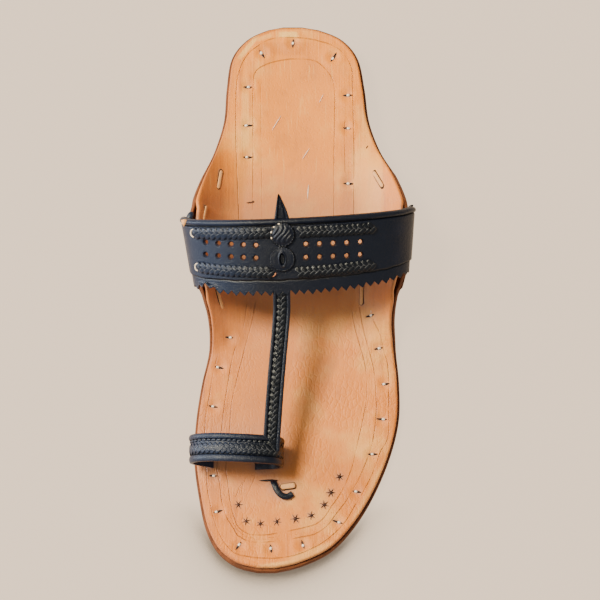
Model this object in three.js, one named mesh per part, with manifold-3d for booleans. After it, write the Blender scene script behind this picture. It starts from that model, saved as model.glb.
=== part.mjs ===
// A left foot's flat leather sandal: an insole and an outsole with turned-up side ears, a stacked heel, a broad
// instep band tucked between the two plies at the ears, a plaited strap down the foot and a ring for the big toe.
// Millimetres, +Z up. The toe points to -Y, the heel to +Y and the big toe's side is -X.
// The sandal stands on its lowest heel lift and on the flat of its forefoot.
import * as THREE from "three";
import { mergeVertices } from "three/addons/utils/BufferGeometryUtils.js";
import Module from "manifold-3d";

const wasm = await Module();
wasm.setup();

// Sole
const SOLE_LENGTH = 280;
const BALL_WIDTH = 102;
const INSOLE_THICKNESS = 2.6;
const OUTSOLE_THICKNESS = 3.6;
const PLY_GAP = 0.3;
const EDGE_STEP = 1.3; // how far the outsole's edge stands out past the insole's
const EAR_STEP = 3.2; // the same at the top of an ear, where both plies lean outwards
const EAR_HEIGHT = 27;
const EAR_FOLD = 0.56; // share of the half width where an ear starts to turn up
const EAR_CURVE = 1.8; // how sharply it turns, as a power
const EAR_SKIVE = 0.45; // share of a ply's thickness pared away at the top of an ear
const HEEL_LIFTS = 3;
const HEEL_LENGTH = 62;
const HEEL_LIFT_THICKNESS = 3.7;
const TOE_SPRING = 6;
const FIT_CLEARANCE = 0.6; // round a strap end in its slit or between the plies
const EAR_GAP = 0.6; // what the outsole is hollowed by where the ears turn up

// Instep band
const BAND_THICKNESS = 2;
const HEM_THICKNESS = 2.5; // its rear edge, folded over
const SKIRT_THICKNESS = 1.2; // its lower layer, which shows past the upper one in front
const BAND_REAR_Y = 34.6;
const BAND_FRONT_Y = 2.7;
const BAND_SKEW = 2.6; // how far the little toe's end lies behind the other
const BAND_BOW_REAR = 8.2; // how far the crown lies in front of the ends, at the rear edge and at the front one
const BAND_BOW_FRONT = 11.7;
const BAND_BULGE = 3; // how far the band stands out past the ears it comes from
const BAND_FLARE = 1.6; // how much more it does at its rear corner on the big toe's side
const BAND_SPRING = 7.5; // height from an ear's top to the band's widest point
const BAND_CREST_X = -5; // how far its crown lies to the big toe's side
const BAND_CROWN_REAR = 64; // heights of its inner face above the floor
const BAND_CROWN_FRONT = 50;
const BAND_TEETH = 30;
const TOOTH_DEPTH = 2.2;
const PUNCH_DIAMETER = 3;
const PUNCHES_ACROSS = 5;

// Plaits
const PLAIT_WIDTH = 5;
const PLAIT_THICKNESS = 1.2;
const PLAIT_RAISE = 0.7; // how far a strand's end stands up from the start of the next
const PLAIT_PITCH = 3.8;
const PLAIT_LEAD = 1.9; // how far a strand's middle lies ahead of its edges

// Bosses on the band
const BOSS_X = -8.6;
const BOSS_THICKNESS = 1.3;
const SCALLOP_DEPTH = 0.08; // as a share of a boss's radius
const ROSETTE_DIAMETER = 12.2;
const ROSETTE_LOBES = 10;
const PETALS = 5;
const PETAL_SPREAD = 0.72; // share of the rosette's diameter that the petals cover
const PETAL_HEIGHT = 0.9;
const PETAL_TWIST = 24; // degrees
const EYELET_DIAMETER = 12.4;
const EYELET_WIDTH = 3.4;
const EYELET_LENGTH = 7;
const EYELET_RIM = 0.9;
const EYELET_RIM_HEIGHT = 0.7;

// Strap down the foot
const STRAP_WIDTH = 8.5;
const STRAP_THICKNESS = 2.2;
const STRAP_BITE = 0.7; // how far it is let into the band that crosses it
const STRAP_X = -9;
const STRAP_KNEE = 8; // how far it runs on straight in front of the band
const STRAP_END_ACROSS = 0.79; // where it runs in under the toe ring, as shares of the ring's half width and height
const STRAP_END_UP = 0.94;
const SPIKE_LENGTH = 11.8;
const SPIKE_LEAN = 1.5; // how far its tip is turned to the big toe's side

// Toe ring
const RING_WIDTH = 14;
const RING_THICKNESS = 2;
const RING_X = -31.4;
const RING_FROM_TOE = 51; // from the tip of the sole to the ring's front edge
const RING_HALF_WIDTH = 21.6; // to its inner face
const RING_HEIGHT = 24.6; // of its inner face above the insole
const RING_SKEW = 1; // how far its lateral end lies in front of its middle

// Knot of the strap's tail and its peg
const KNOT_X = -13.4;
const KNOT_FROM_TOE = 44.4;
const KNOT_WIDTH = 3;
const KNOT_THICKNESS = 1.3;
const KNOT_ROWS = 12;
const KNOT_TURN = 100; // degrees that its width turns as it bends round the peg
const KNOT_SLIT_LENGTH = 9.4;
const KNOT_SLIT_X = -2.4; // of the slit's middle from the knot's start
const PEG_LENGTH = 7.6;
const PEG_WIDTH = 2.8;
const PEG_THICKNESS = 1.2;
const PEG_X = 7.5; // of its middle from the knot's start
const PEG_Y = -2.6;
const PEG_TURN = 8; // degrees

const HEEL_HEIGHT = HEEL_LIFTS * (HEEL_LIFT_THICKNESS + PLY_GAP);
const INSOLE_TOP = OUTSOLE_THICKNESS + PLY_GAP + INSOLE_THICKNESS;
const RING_FRONT_Y = RING_FROM_TOE - SOLE_LENGTH / 2;
const KNOT_Y = KNOT_FROM_TOE - SOLE_LENGTH / 2;
const TUCK = BAND_THICKNESS + 2 * FIT_CLEARANCE - PLY_GAP;

// The outsole's outline, a row for each station from heel to toe. along is a share of the sole's length from the
// heel, medial and lateral are the two edges as shares of the ball width, and ear is a share of the ear's height.
const SOLE_ROWS = [
  { along: 0.0, medial: -0.085, lateral: 0.01, ear: 0 },
  { along: 0.006, medial: -0.165, lateral: 0.098, ear: 0 },
  { along: 0.025, medial: -0.268, lateral: 0.213, ear: 0 },
  { along: 0.062, medial: -0.345, lateral: 0.293, ear: 0 },
  { along: 0.12, medial: -0.37, lateral: 0.326, ear: 0 },
  { along: 0.18, medial: -0.382, lateral: 0.347, ear: 0 },
  { along: 0.235, medial: -0.424, lateral: 0.398, ear: 0.1 },
  { along: 0.29, medial: -0.482, lateral: 0.474, ear: 0.42 },
  { along: 0.345, medial: -0.53, lateral: 0.526, ear: 0.8 },
  { along: 0.4, medial: -0.548, lateral: 0.55, ear: 1 },
  { along: 0.455, medial: -0.535, lateral: 0.537, ear: 0.97 },
  { along: 0.505, medial: -0.496, lateral: 0.494, ear: 0.72 },
  { along: 0.55, medial: -0.455, lateral: 0.467, ear: 0.33 },
  { along: 0.6, medial: -0.45, lateral: 0.476, ear: 0.04 },
  { along: 0.66, medial: -0.486, lateral: 0.492, ear: 0 },
  { along: 0.73, medial: -0.514, lateral: 0.489, ear: 0 },
  { along: 0.8, medial: -0.522, lateral: 0.44, ear: 0 },
  { along: 0.87, medial: -0.496, lateral: 0.354, ear: 0 },
  { along: 0.925, medial: -0.46, lateral: 0.255, ear: 0 },
  { along: 0.965, medial: -0.4, lateral: 0.144, ear: 0 },
  { along: 0.99, medial: -0.31, lateral: -0.002, ear: 0 },
  { along: 1.0, medial: -0.205, lateral: -0.12, ear: 0 },
];

// Shares of the half width where the band's tucked ends run between the plies
const TAB_COLUMNS = [0.8, 0.9, 1];

// Where the band's mesh is divided along each tucked end
const TAB_STEPS = [0, 0.35, 0.7];

// The band's shares from rear to front with its thickness there: the folded hem, the upper layer and the skirt.
const BAND_PROFILE = [
  { share: 0, thickness: 0.6 * HEM_THICKNESS },
  { share: 0.035, thickness: HEM_THICKNESS },
  { share: 0.075, thickness: HEM_THICKNESS },
  { share: 0.09, thickness: BAND_THICKNESS },
  { share: 0.79, thickness: BAND_THICKNESS },
  { share: 0.805, thickness: SKIRT_THICKNESS },
  { share: 1, thickness: SKIRT_THICKNESS },
];

// Rows of punched holes: from and to are x as shares of the ball width, start and end the band's shares there.
const PUNCH_ROWS = [
  { from: -0.447, to: -0.21, start: 0.3, end: 0.335 },
  { from: -0.447, to: -0.21, start: 0.468, end: 0.5 },
  { from: 0.028, to: 0.288, start: 0.343, end: 0.374 },
  { from: 0.028, to: 0.288, start: 0.515, end: 0.545 },
];

const ROSETTE_SHARE = 0.2;
const EYELET_SHARE = 0.52;

// Plaits on the band, in the same terms.
const BAND_PLAITS = [
  { name: "plait_rear_medial", from: -0.51, to: -0.149, start: 0.178, end: 0.17 },
  { name: "plait_rear_lateral", from: -0.022, to: 0.343, start: 0.175, end: 0.2 },
  { name: "plait_front_medial", from: -0.49, to: -0.137, start: 0.645, end: 0.685 },
  { name: "plait_front_lateral", from: -0.033, to: 0.343, start: 0.7, end: 0.695 },
];

// Columns across straps, as shares of the width from the middle: thickness as a share of the strap's own, how much
// of the plait's raise they take and how much of its lead.
const PLAIT_COLUMNS = [
  { across: -0.5, thickness: 0.6, raise: 0.6, lead: 0 },
  { across: 0, thickness: 1, raise: 1, lead: 1 },
  { across: 0.5, thickness: 0.6, raise: 0.6, lead: 0 },
];
const STRAP_COLUMNS = [
  { across: -0.5, thickness: 0.8, raise: 0, lead: 0 },
  { across: -0.35, thickness: 1, raise: 0, lead: 0 },
  { across: -0.29, thickness: 0.7, raise: 1, lead: 0 },
  { across: 0, thickness: 0.8, raise: 1, lead: 1 },
  { across: 0.29, thickness: 0.7, raise: 1, lead: 0 },
  { across: 0.35, thickness: 1, raise: 0, lead: 0 },
  { across: 0.5, thickness: 0.8, raise: 0, lead: 0 },
];
const RING_COLUMNS = [
  { across: -0.5, thickness: 0.7, raise: 0, lead: 0 },
  { across: -0.4, thickness: 1, raise: 0, lead: 0 },
  { across: -0.25, thickness: 1, raise: 0, lead: 0 },
  { across: -0.21, thickness: 0.7, raise: 1, lead: 0 },
  { across: 0.02, thickness: 0.8, raise: 1, lead: 1 },
  { across: 0.27, thickness: 0.7, raise: 1, lead: 0 },
  { across: 0.3, thickness: 1.1, raise: 0, lead: 0 },
  { across: 0.5, thickness: 1, raise: 0, lead: 0 },
];
const KNOT_COLUMNS = [
  { across: -0.5, thickness: 0.8, raise: 0, lead: 0 },
  { across: 0, thickness: 1, raise: 0, lead: 0 },
  { across: 0.5, thickness: 0.8, raise: 0, lead: 0 },
];

// The toe ring's inner face from its medial foot over the toe to its lateral foot.
const RING_ROUTE = [
  { across: -0.56, up: 0.05 },
  { across: -0.74, up: 0.19 },
  { across: -0.94, up: 0.35 },
  { across: -1, up: 0.54 },
  { across: -0.83, up: 0.8 },
  { across: -0.46, up: 0.96 },
  { across: 0, up: 1 },
  { across: 0.46, up: 0.98 },
  { across: 0.82, up: 0.9 },
  { across: 0.98, up: 0.7 },
  { across: 0.97, up: 0.46 },
  { across: 0.85, up: 0.28 },
  { across: 0.6, up: 0.16 },
  { across: 0.42, up: 0.05 },
];

// The knot's underside from the bottom of its slit, round the peg's end and back under it.
const KNOT_ROUTE = [
  { x: 0, y: 0, z: -INSOLE_THICKNESS },
  { x: 0.1, y: -0.3, z: 0.4 },
  { x: 0.7, y: -1.8, z: 1.5 },
  { x: 1.5, y: -4.2, z: 1.8 },
  { x: 3.3, y: -6.6, z: 1.7 },
  { x: 5.6, y: -7.2, z: 1.3 },
  { x: 7.5, y: -6.8, z: 1.0 },
];

const LEATHER = { roughness: 0.62, metalness: 0 };
const tanLeather = { ...LEATHER, color: 0xe0ae80 };
const edgeLeather = { ...LEATHER, color: 0xa56b42, roughness: 0.8 };
const navyLeather = { ...LEATHER, color: 0x262c38, roughness: 0.45 };

const clamp = (value, low, high) => Math.min(high, Math.max(low, value));
const mix = THREE.MathUtils.lerp;
const smooth = (value, low, high) => THREE.MathUtils.smoothstep(value, low, high);
const radians = THREE.MathUtils.degToRad;
const UP = new THREE.Vector3(0, 0, 1);

// A column of the sole's table at a station from 0 at the heel to 1 at the toe, on a smooth curve through its rows.
function column(name, station) {
  const place = clamp(station, 0, 1) * (SOLE_ROWS.length - 1);
  const i = Math.min(Math.floor(place), SOLE_ROWS.length - 2);
  const row = (k) => SOLE_ROWS[clamp(k, 0, SOLE_ROWS.length - 1)][name];
  const f = place - i;
  const [p, q, r, s] = [row(i - 1), row(i), row(i + 1), row(i + 2)];
  return q + 0.5 * f * (r - p + f * (2 * p - 5 * q + 4 * r - s + f * (3 * (q - r) + s - p)));
}

// The station whose row lies at a share along the sole.
function stationAt(along) {
  let [low, high] = [0, 1];
  for (let step = 0; step < 40; step++) {
    const middle = (low + high) / 2;
    if (column("along", middle) < along) low = middle;
    else high = middle;
  }
  return (low + high) / 2;
}

const alongOf = (y) => 0.5 - y / SOLE_LENGTH;
const stationOfY = (y) => stationAt(alongOf(y));
const earAt = (station) => clamp(column("ear", station), 0, 1);

// How much the plies are spread to take the band between them, from 0 to 1.
function tuckAt(station) {
  const y = SOLE_LENGTH * (0.5 - column("along", station));
  const rear = BAND_REAR_Y + BAND_SKEW;
  const front = BAND_FRONT_Y - BAND_SKEW;
  return smooth(-y, -rear - 9, -rear - 2) * (1 - smooth(-y, -front + 4, -front + 12));
}

// Height of the outsole's underside above the floor: the heel's rise, the shank, the flat forefoot, the toe spring.
function rise(along) {
  const heel = HEEL_HEIGHT * (1 - smooth(along, 0.27, 0.5));
  const toe = TOE_SPRING * clamp((along - 0.8) / 0.2, 0, 1) ** 2;
  return heel + toe;
}

// A point of the outsole's outline on one side (-1 medial, 1 lateral), moved in by inset.
function outline(side, station, inset) {
  const name = side < 0 ? "medial" : "lateral";
  const at = (s) => [BALL_WIDTH * column(name, s), SOLE_LENGTH * (0.5 - column("along", s))];
  const [x, y] = at(station);
  const step = 0.004;
  const [xa, ya] = at(Math.max(0, station - step));
  const [xb, yb] = at(Math.min(1, station + step));
  const length = Math.hypot(xb - xa, yb - ya);
  const nx = (-side * (yb - ya)) / length;
  const ny = (side * (xb - xa)) / length;
  return [x - inset * nx, y - inset * ny];
}

// How far the insole's edge lies inside the outsole's.
function insoleInset(station) {
  const ear = earAt(station);
  return EDGE_STEP * (1 - ear) + EAR_STEP * ear + 0.8 * TUCK * tuckAt(station);
}

const outsoleInset = (station) => insoleInset(station) - EDGE_STEP * (1 - earAt(station));

const earShare = (across, station) =>
  earAt(station) * clamp((Math.abs(across) - EAR_FOLD) / (1 - EAR_FOLD), 0, 1) ** EAR_CURVE;

// The insole's top surface. across runs from -1 at the medial edge to 1 at the lateral one.
function sheet(across, station, inset) {
  const [xm, ym] = outline(-1, station, inset(station));
  const [xl, yl] = outline(1, station, inset(station));
  const f = (across + 1) / 2;
  const y = mix(ym, yl, f);
  return new THREE.Vector3(
    mix(xm, xl, f),
    y,
    INSOLE_TOP + rise(alongOf(y)) + EAR_HEIGHT * earShare(across, station),
  );
}

function sheetNormal(across, station, inset) {
  const step = 0.004;
  const [low, high] = [Math.max(0, station - step), Math.min(1, station + step)];
  const along = sheet(across, low, inset).sub(sheet(across, high, inset));
  const over = sheet(across + step, station, inset).sub(sheet(across - step, station, inset));
  return over.cross(along).normalize();
}

// A point at a depth below the insole's top surface.
function below(across, station, depth, inset = insoleInset) {
  return sheet(across, station, inset).addScaledVector(sheetNormal(across, station, inset), -depth);
}

const skive = (across, station) => 1 - EAR_SKIVE * earShare(across, station);
const insoleDepth = (across, station) => INSOLE_THICKNESS * skive(across, station);

// The space between the plies for the band, and with the hollow where the ears turn up.
const tuckDepth = (across, station) =>
  PLY_GAP + TUCK * tuckAt(station) * smooth(Math.abs(across), EAR_FOLD, TAB_COLUMNS[0]);

function spaceDepth(across, station) {
  const turned = smooth(Math.abs(across), 0.5 * EAR_FOLD, EAR_FOLD) * smooth(earAt(station), 0, 0.1);
  return Math.max(tuckDepth(across, station), PLY_GAP + EAR_GAP * turned);
}

// A solid between two grids of points that share their edges' outline. outer and inner give a point for a row and column.
function slab(rows, columns, outer, inner) {
  const points = [];
  for (const face of [outer, inner])
    for (let i = 0; i <= rows; i++) for (let j = 0; j <= columns; j++) points.push(face(i, j));
  const size = (rows + 1) * (columns + 1);
  const at = (face, i, j) => face * size + i * (columns + 1) + j;
  const index = [];
  const quad = (a, b, c, d) => index.push(a, b, c, a, c, d);
  for (let i = 0; i < rows; i++)
    for (let j = 0; j < columns; j++) {
      quad(at(0, i, j), at(0, i, j + 1), at(0, i + 1, j + 1), at(0, i + 1, j));
      quad(at(1, i + 1, j), at(1, i + 1, j + 1), at(1, i, j + 1), at(1, i, j));
    }
  for (let i = 0; i < rows; i++) {
    quad(at(0, i + 1, 0), at(1, i + 1, 0), at(1, i, 0), at(0, i, 0));
    quad(at(0, i, columns), at(1, i, columns), at(1, i + 1, columns), at(0, i + 1, columns));
  }
  for (let j = 0; j < columns; j++) {
    quad(at(0, 0, j), at(1, 0, j), at(1, 0, j + 1), at(0, 0, j + 1));
    quad(at(0, rows, j + 1), at(1, rows, j + 1), at(1, rows, j), at(0, rows, j));
  }
  return new THREE.BufferGeometry().setFromPoints(points).setIndex(index);
}

// A geometry as a solid that can be joined and cut, with its faces turned out.
function solid(geometry) {
  const bare = new THREE.BufferGeometry();
  bare.setAttribute("position", geometry.getAttribute("position"));
  bare.setIndex(geometry.index);
  const merged = mergeVertices(bare, 1e-4);
  const triVerts = Uint32Array.from(merged.index.array);
  const vertProperties = merged.attributes.position.array;
  const make = () => new wasm.Manifold(new wasm.Mesh({ numProp: 3, vertProperties, triVerts }));
  const made = make();
  if (made.volume() >= 0) return made;
  for (let i = 0; i < triVerts.length; i += 3)
    [triVerts[i], triVerts[i + 1]] = [triVerts[i + 1], triVerts[i]];
  return make();
}

function geometryOf(made) {
  const { vertProperties, triVerts } = made.getMesh();
  return new THREE.BufferGeometry()
    .setAttribute("position", new THREE.BufferAttribute(new Float32Array(vertProperties), 3))
    .setIndex(Array.from(triVerts));
}

const sandal = new THREE.Group();

function add(name, made, leather) {
  const geometry = geometryOf(made);
  geometry.computeVertexNormals();
  const mesh = new THREE.Mesh(geometry, new THREE.MeshStandardMaterial(leather));
  mesh.name = name;
  sandal.add(mesh);
}

// Plies of the sole
const PLY_ROWS = 36;
const LIFT_STEPS = 10;
const PLY_COLUMNS = [-1, -0.9, -0.79, -0.68, -0.57, 0, 0.57, 0.68, 0.79, 0.9, 1];

function ply(top, bottom, inset) {
  const columns = PLY_COLUMNS.length - 1;
  const point = (depth) => (i, j) => {
    const [across, station] = [PLY_COLUMNS[j], i / PLY_ROWS];
    return below(across, station, depth(across, station), inset);
  };
  return solid(slab(PLY_ROWS, columns, point(top), point(bottom)));
}

// Heel lifts
function heelLift(number) {
  const breast = stationAt(HEEL_LENGTH / SOLE_LENGTH);
  const side = (sign) =>
    Array.from({ length: LIFT_STEPS + 1 }, (_, i) => new THREE.Vector2(...outline(sign, (breast * i) / LIFT_STEPS, 0)));
  const shape = new THREE.Shape([...side(-1).reverse(), ...side(1)]);
  const lift = new THREE.ExtrudeGeometry(shape, { depth: HEEL_LIFT_THICKNESS, bevelEnabled: false });
  lift.translate(0, 0, number * (HEEL_LIFT_THICKNESS + PLY_GAP));
  return solid(lift);
}

// Instep band. share runs from 0 at its rear edge to 1 at the tips of its front teeth, place from 0 at the end
// tucked into the medial ear to 1 at the other.
const bandEndY = (side, share) => mix(BAND_REAR_Y, BAND_FRONT_Y, share) + side * BAND_SKEW;
const bandCrown = (share) => mix(BAND_CROWN_REAR, BAND_CROWN_FRONT, share);
const BAND_SPAN = Math.hypot(BAND_REAR_Y - BAND_FRONT_Y, BAND_CROWN_REAR - BAND_CROWN_FRONT);
const ARCH_DEGREES = [-90, -68, -45, -22, 0, 22, 45, 68, 90];

function bandEnd(side, share) {
  const station = stationOfY(bandEndY(side, share));
  return TAB_COLUMNS.map((across) =>
    below(side * across, station, insoleDepth(side * across, station) + FIT_CLEARANCE),
  );
}

// Where the band leaves the ear on one side: straight from its rear edge to its front one, as leather bends.
const bandRoot = (side, share) => bandEnd(side, 0).at(-1).lerp(bandEnd(side, 1).at(-1), share);

// The band's inner face at one share, as a curve across the foot.
function makeBandSection(share) {
  const [medial, lateral] = [bandEnd(-1, share), bandEnd(1, share)];
  const [left, right] = [bandRoot(-1, share), bandRoot(1, share)];
  left.x -= BAND_BULGE + BAND_FLARE * (1 - share);
  right.x += BAND_BULGE;
  const crown = bandCrown(share);
  const bow = mix(BAND_BOW_REAR, BAND_BOW_FRONT, share);
  const arch = ARCH_DEGREES.map((degrees) => {
    const [sine, cosine] = [Math.sin(radians(degrees)), Math.cos(radians(degrees))];
    const f = (sine + 1) / 2;
    const foot = mix(left.z, right.z, f) + BAND_SPRING;
    return new THREE.Vector3(
      mix(left.x, right.x, f) + BAND_CREST_X * cosine,
      bandEndY(sine, share) - bow * cosine,
      foot + (crown - foot) * cosine,
    );
  });
  return new THREE.CatmullRomCurve3([...medial, ...arch, ...lateral.reverse()], false, "centripetal");
}

const sections = new Map();

function bandSection(share) {
  if (!sections.has(share)) sections.set(share, makeBandSection(share));
  return sections.get(share);
}

// A point of the band at a height above its inner face.
function bandPoint(place, share, height) {
  const step = 0.01;
  const at = clamp(place, 0, 1);
  const point = bandSection(share).getPointAt(at);
  const forward = bandSection(share + step).getPointAt(at).sub(point);
  const normal = forward.cross(bandSection(share).getTangentAt(at)).normalize();
  return { point: point.addScaledVector(normal, height), normal };
}

// The place on the band at a share where it crosses a given x.
function placeOfX(x, share) {
  let [low, high] = [bandTab, 1 - bandTab];
  for (let step = 0; step < 30; step++) {
    const middle = (low + high) / 2;
    if (bandSection(share).getPointAt(middle).x < x) low = middle;
    else high = middle;
  }
  return (low + high) / 2;
}

// The share of the band's length that lies between the plies at either end.
const SECTION_STEPS = 10;

function tabShare(share) {
  const curve = bandSection(share);
  const lengths = curve.getLengths(SECTION_STEPS * (curve.points.length - 1));
  const tab = lengths[(TAB_COLUMNS.length - 1) * SECTION_STEPS];
  return (tab + 2 * HEM_THICKNESS) / lengths.at(-1);
}

const bandTab = Math.max(tabShare(0), tabShare(1));

function bandSolid() {
  const places = TAB_STEPS.map((step) => ({ place: step * bandTab }));
  for (let tooth = 0; tooth <= 2 * BAND_TEETH; tooth++)
    places.push({ place: mix(bandTab, 1 - bandTab, tooth / (2 * BAND_TEETH)), notch: tooth % 2 === 0 });
  places.push(...TAB_STEPS.toReversed().map((step) => ({ place: 1 - step * bandTab })));
  const point = (raised) => (i, j) => {
    const { place, notch } = places[i];
    const { share, thickness } = BAND_PROFILE[j];
    const tucked = place <= bandTab || place >= 1 - bandTab;
    const height = tucked ? Math.min(thickness, BAND_THICKNESS) : thickness;
    const cut = share === 1 && notch ? TOOTH_DEPTH / BAND_SPAN : 0;
    return bandPoint(place, share - cut, raised ? height : 0).point;
  };
  return solid(slab(places.length - 1, BAND_PROFILE.length - 1, point(true), point(false)));
}

function punches() {
  const shaft = new THREE.CylinderGeometry(PUNCH_DIAMETER / 2, PUNCH_DIAMETER / 2, 6 * BAND_THICKNESS, 8);
  const up = new THREE.Vector3(0, 1, 0);
  const made = [];
  for (const { from, to, start, end } of PUNCH_ROWS)
    for (let k = 0; k < PUNCHES_ACROSS; k++) {
      const step = k / (PUNCHES_ACROSS - 1);
      const share = mix(start, end, step);
      const { point, normal } = bandPoint(placeOfX(BALL_WIDTH * mix(from, to, step), share), share, 0);
      const turn = new THREE.Quaternion().setFromUnitVectors(up, normal);
      made.push(solid(shaft.clone().applyQuaternion(turn).translate(...point.toArray())));
    }
  return made;
}

// Rows across a plait of a given length, in pairs: a low one where a strand starts and a high one where it ends.
function plaitRows(start, length) {
  const count = Math.max(1, Math.round(length / PLAIT_PITCH));
  const rows = [];
  for (let k = 0; k < count; k++) {
    rows.push({ at: start + (k * length) / count, raise: 0, lead: 1, width: 1 });
    rows.push({ at: start + ((k + 0.8) * length) / count, raise: 1, lead: 1, width: 1 });
  }
  rows.push({ at: start + length, raise: 0, lead: 1, width: 1 });
  return rows;
}

// A plait laid on the band.
function bandPlait({ from, to, start, end }) {
  const [first, last] = [placeOfX(BALL_WIDTH * from, start), placeOfX(BALL_WIDTH * to, end)];
  const total = bandSection(start).getLength();
  const length = (last - first) * total;
  const rows = plaitRows(0, length - PLAIT_LEAD);
  const point = (raised) => (i, j) => {
    const { across, thickness, lead, raise } = PLAIT_COLUMNS[j];
    const run = rows[i].at + PLAIT_LEAD * lead;
    const height = raised ? PLAIT_THICKNESS * thickness + PLAIT_RAISE * raise * rows[i].raise : 0;
    const share = mix(start, end, run / length) + (across * PLAIT_WIDTH) / BAND_SPAN;
    return bandPoint(first + run / total, share, BAND_THICKNESS + PLY_GAP + height).point;
  };
  return solid(slab(rows.length - 1, PLAIT_COLUMNS.length - 1, point(true), point(false)));
}

// A strap whose underside follows a curve. broad gives the direction of its width at a place from 0 to 1.
function strip(curve, rows, columns, broad, width, thickness) {
  const total = curve.getLength();
  const point = (raised) => (i, j) => {
    const row = rows[i];
    const column = columns[j];
    const place = clamp((row.at + PLAIT_LEAD * column.lead * row.lead) / total, 0, 1);
    const tangent = curve.getTangentAt(place);
    const side = broad(place);
    side.addScaledVector(tangent, -side.dot(tangent)).normalize();
    const height = raised ? thickness * column.thickness + PLAIT_RAISE * column.raise * row.raise : 0;
    const normal = tangent.cross(side);
    return curve
      .getPointAt(place)
      .addScaledVector(side, column.across * width * row.width)
      .addScaledVector(normal, height);
  };
  return solid(slab(rows.length - 1, columns.length - 1, point(true), point(false)));
}

const curveThrough = (points) => new THREE.CatmullRomCurve3(points, false, "centripetal");
const acrossFoot = () => new THREE.Vector3(1, 0, 0);
const alongFoot = () => new THREE.Vector3(0, 1, 0);

// Strap down the foot, from its pointed end behind the band to the toe ring's inner face
function strapSolid() {
  const crest = (share) => bandPoint(placeOfX(STRAP_X, share), share, STRAP_BITE - STRAP_THICKNESS).point;
  const [rear, front] = [crest(0), crest(1)];
  const along = rear.clone().sub(front).normalize();
  const tip = rear.clone().addScaledVector(along, SPIKE_LENGTH);
  tip.x -= SPIKE_LEAN;
  const end = ringPoint(STRAP_END_ACROSS, STRAP_END_UP);
  end.z += STRAP_BITE - STRAP_THICKNESS;
  const knee = front.clone().addScaledVector(along, -STRAP_KNEE);
  const curve = curveThrough([tip, rear, front, knee, front.clone().lerp(end, 0.6), end]);
  const total = curve.getLength();
  const hidden = SPIKE_LENGTH + BAND_SPAN - PLAIT_PITCH;
  const rows = [
    { at: 0, raise: 0, lead: 0, width: 0.1 },
    { at: 0.45 * SPIKE_LENGTH, raise: 0, lead: 0, width: 0.56 },
    { at: SPIKE_LENGTH, raise: 0, lead: 0, width: 0.86 },
    { at: SPIKE_LENGTH + STRAP_WIDTH, raise: 0, lead: 0, width: 1 },
    ...plaitRows(hidden, total - hidden - PLAIT_LEAD),
  ];
  return strip(curve, rows, STRAP_COLUMNS, acrossFoot, STRAP_WIDTH, STRAP_THICKNESS);
}

// A point of the toe ring's inner face in its own plane, as shares of its half width and height.
function ringPoint(across, up) {
  return new THREE.Vector3(
    RING_X + across * RING_HALF_WIDTH,
    RING_FRONT_Y + RING_WIDTH / 2 - RING_SKEW * across,
    ringFloor + up * RING_HEIGHT,
  );
}

const ringFloor = INSOLE_TOP + rise(alongOf(RING_FRONT_Y));

function ringSolid() {
  const points = RING_ROUTE.map(({ across, up }) => ringPoint(across, up));
  const foot = (point) => point.clone().setZ(ringFloor - INSOLE_THICKNESS);
  const curve = curveThrough([foot(points[0]), ...points, foot(points.at(-1))]);
  const total = curve.getLength();
  const plain = { raise: 0, lead: 0, width: 1 };
  const start = INSOLE_THICKNESS + 2 * RING_THICKNESS;
  const rows = [
    { at: 0, ...plain },
    { at: INSOLE_THICKNESS, ...plain },
    ...plaitRows(start, total - 2 * start - PLAIT_LEAD),
    { at: total - INSOLE_THICKNESS, ...plain },
    { at: total, ...plain },
  ];
  return strip(curve, rows, RING_COLUMNS, alongFoot, RING_WIDTH, RING_THICKNESS);
}

// The slit in the insole for one of the ring's ends.
function ringSlit(row, side) {
  const { x, y } = ringPoint(row.across, 0);
  const slit = new THREE.BoxGeometry(
    RING_THICKNESS + 2 * FIT_CLEARANCE,
    RING_WIDTH + 2 * FIT_CLEARANCE,
    4 * INSOLE_THICKNESS,
  );
  return solid(slit.translate(x + (side * RING_THICKNESS) / 2, y, ringFloor));
}

// Knot of the strap's tail
const knotFloor = INSOLE_TOP + rise(alongOf(KNOT_Y));
const knotPoint = ({ x, y, z }) => new THREE.Vector3(KNOT_X + x, KNOT_Y + y, knotFloor + z);

function knotSolid() {
  const curve = curveThrough(KNOT_ROUTE.map(knotPoint));
  const total = curve.getLength();
  const rows = Array.from({ length: KNOT_ROWS + 1 }, (_, i) => ({
    at: (total * i) / KNOT_ROWS,
    raise: 0,
    lead: 0,
    width: 1,
  }));
  const broad = (place) => acrossFoot().applyAxisAngle(UP, radians(KNOT_TURN) * smooth(place, 0.45, 0.85));
  return strip(curve, rows, KNOT_COLUMNS, broad, KNOT_WIDTH, KNOT_THICKNESS);
}

function knotSlit() {
  const slit = new THREE.BoxGeometry(KNOT_SLIT_LENGTH, KNOT_THICKNESS + 2 * FIT_CLEARANCE, 4 * INSOLE_THICKNESS);
  const { x, y } = knotPoint(KNOT_ROUTE[0]);
  return solid(slit.translate(x + KNOT_SLIT_X, y + KNOT_THICKNESS / 2, knotFloor));
}

function pegSolid() {
  const peg = new THREE.BoxGeometry(PEG_LENGTH, PEG_WIDTH, PEG_THICKNESS);
  const { x, y } = knotPoint({ x: PEG_X, y: PEG_Y, z: 0 });
  const z = INSOLE_TOP + rise(alongOf(y - PEG_WIDTH)) + PLY_GAP + PEG_THICKNESS / 2;
  return solid(peg.rotateZ(radians(PEG_TURN)).translate(x, y, z));
}

// Bosses on the band
function bossFrame(share, height) {
  const { point, normal } = bandPoint(placeOfX(BOSS_X, share), share, height + PLY_GAP);
  const forward = new THREE.Vector3(0, 1, 0);
  forward.addScaledVector(normal, -forward.dot(normal)).normalize();
  return new THREE.Matrix4().makeBasis(forward.clone().cross(normal), forward, normal).setPosition(point);
}

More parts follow.
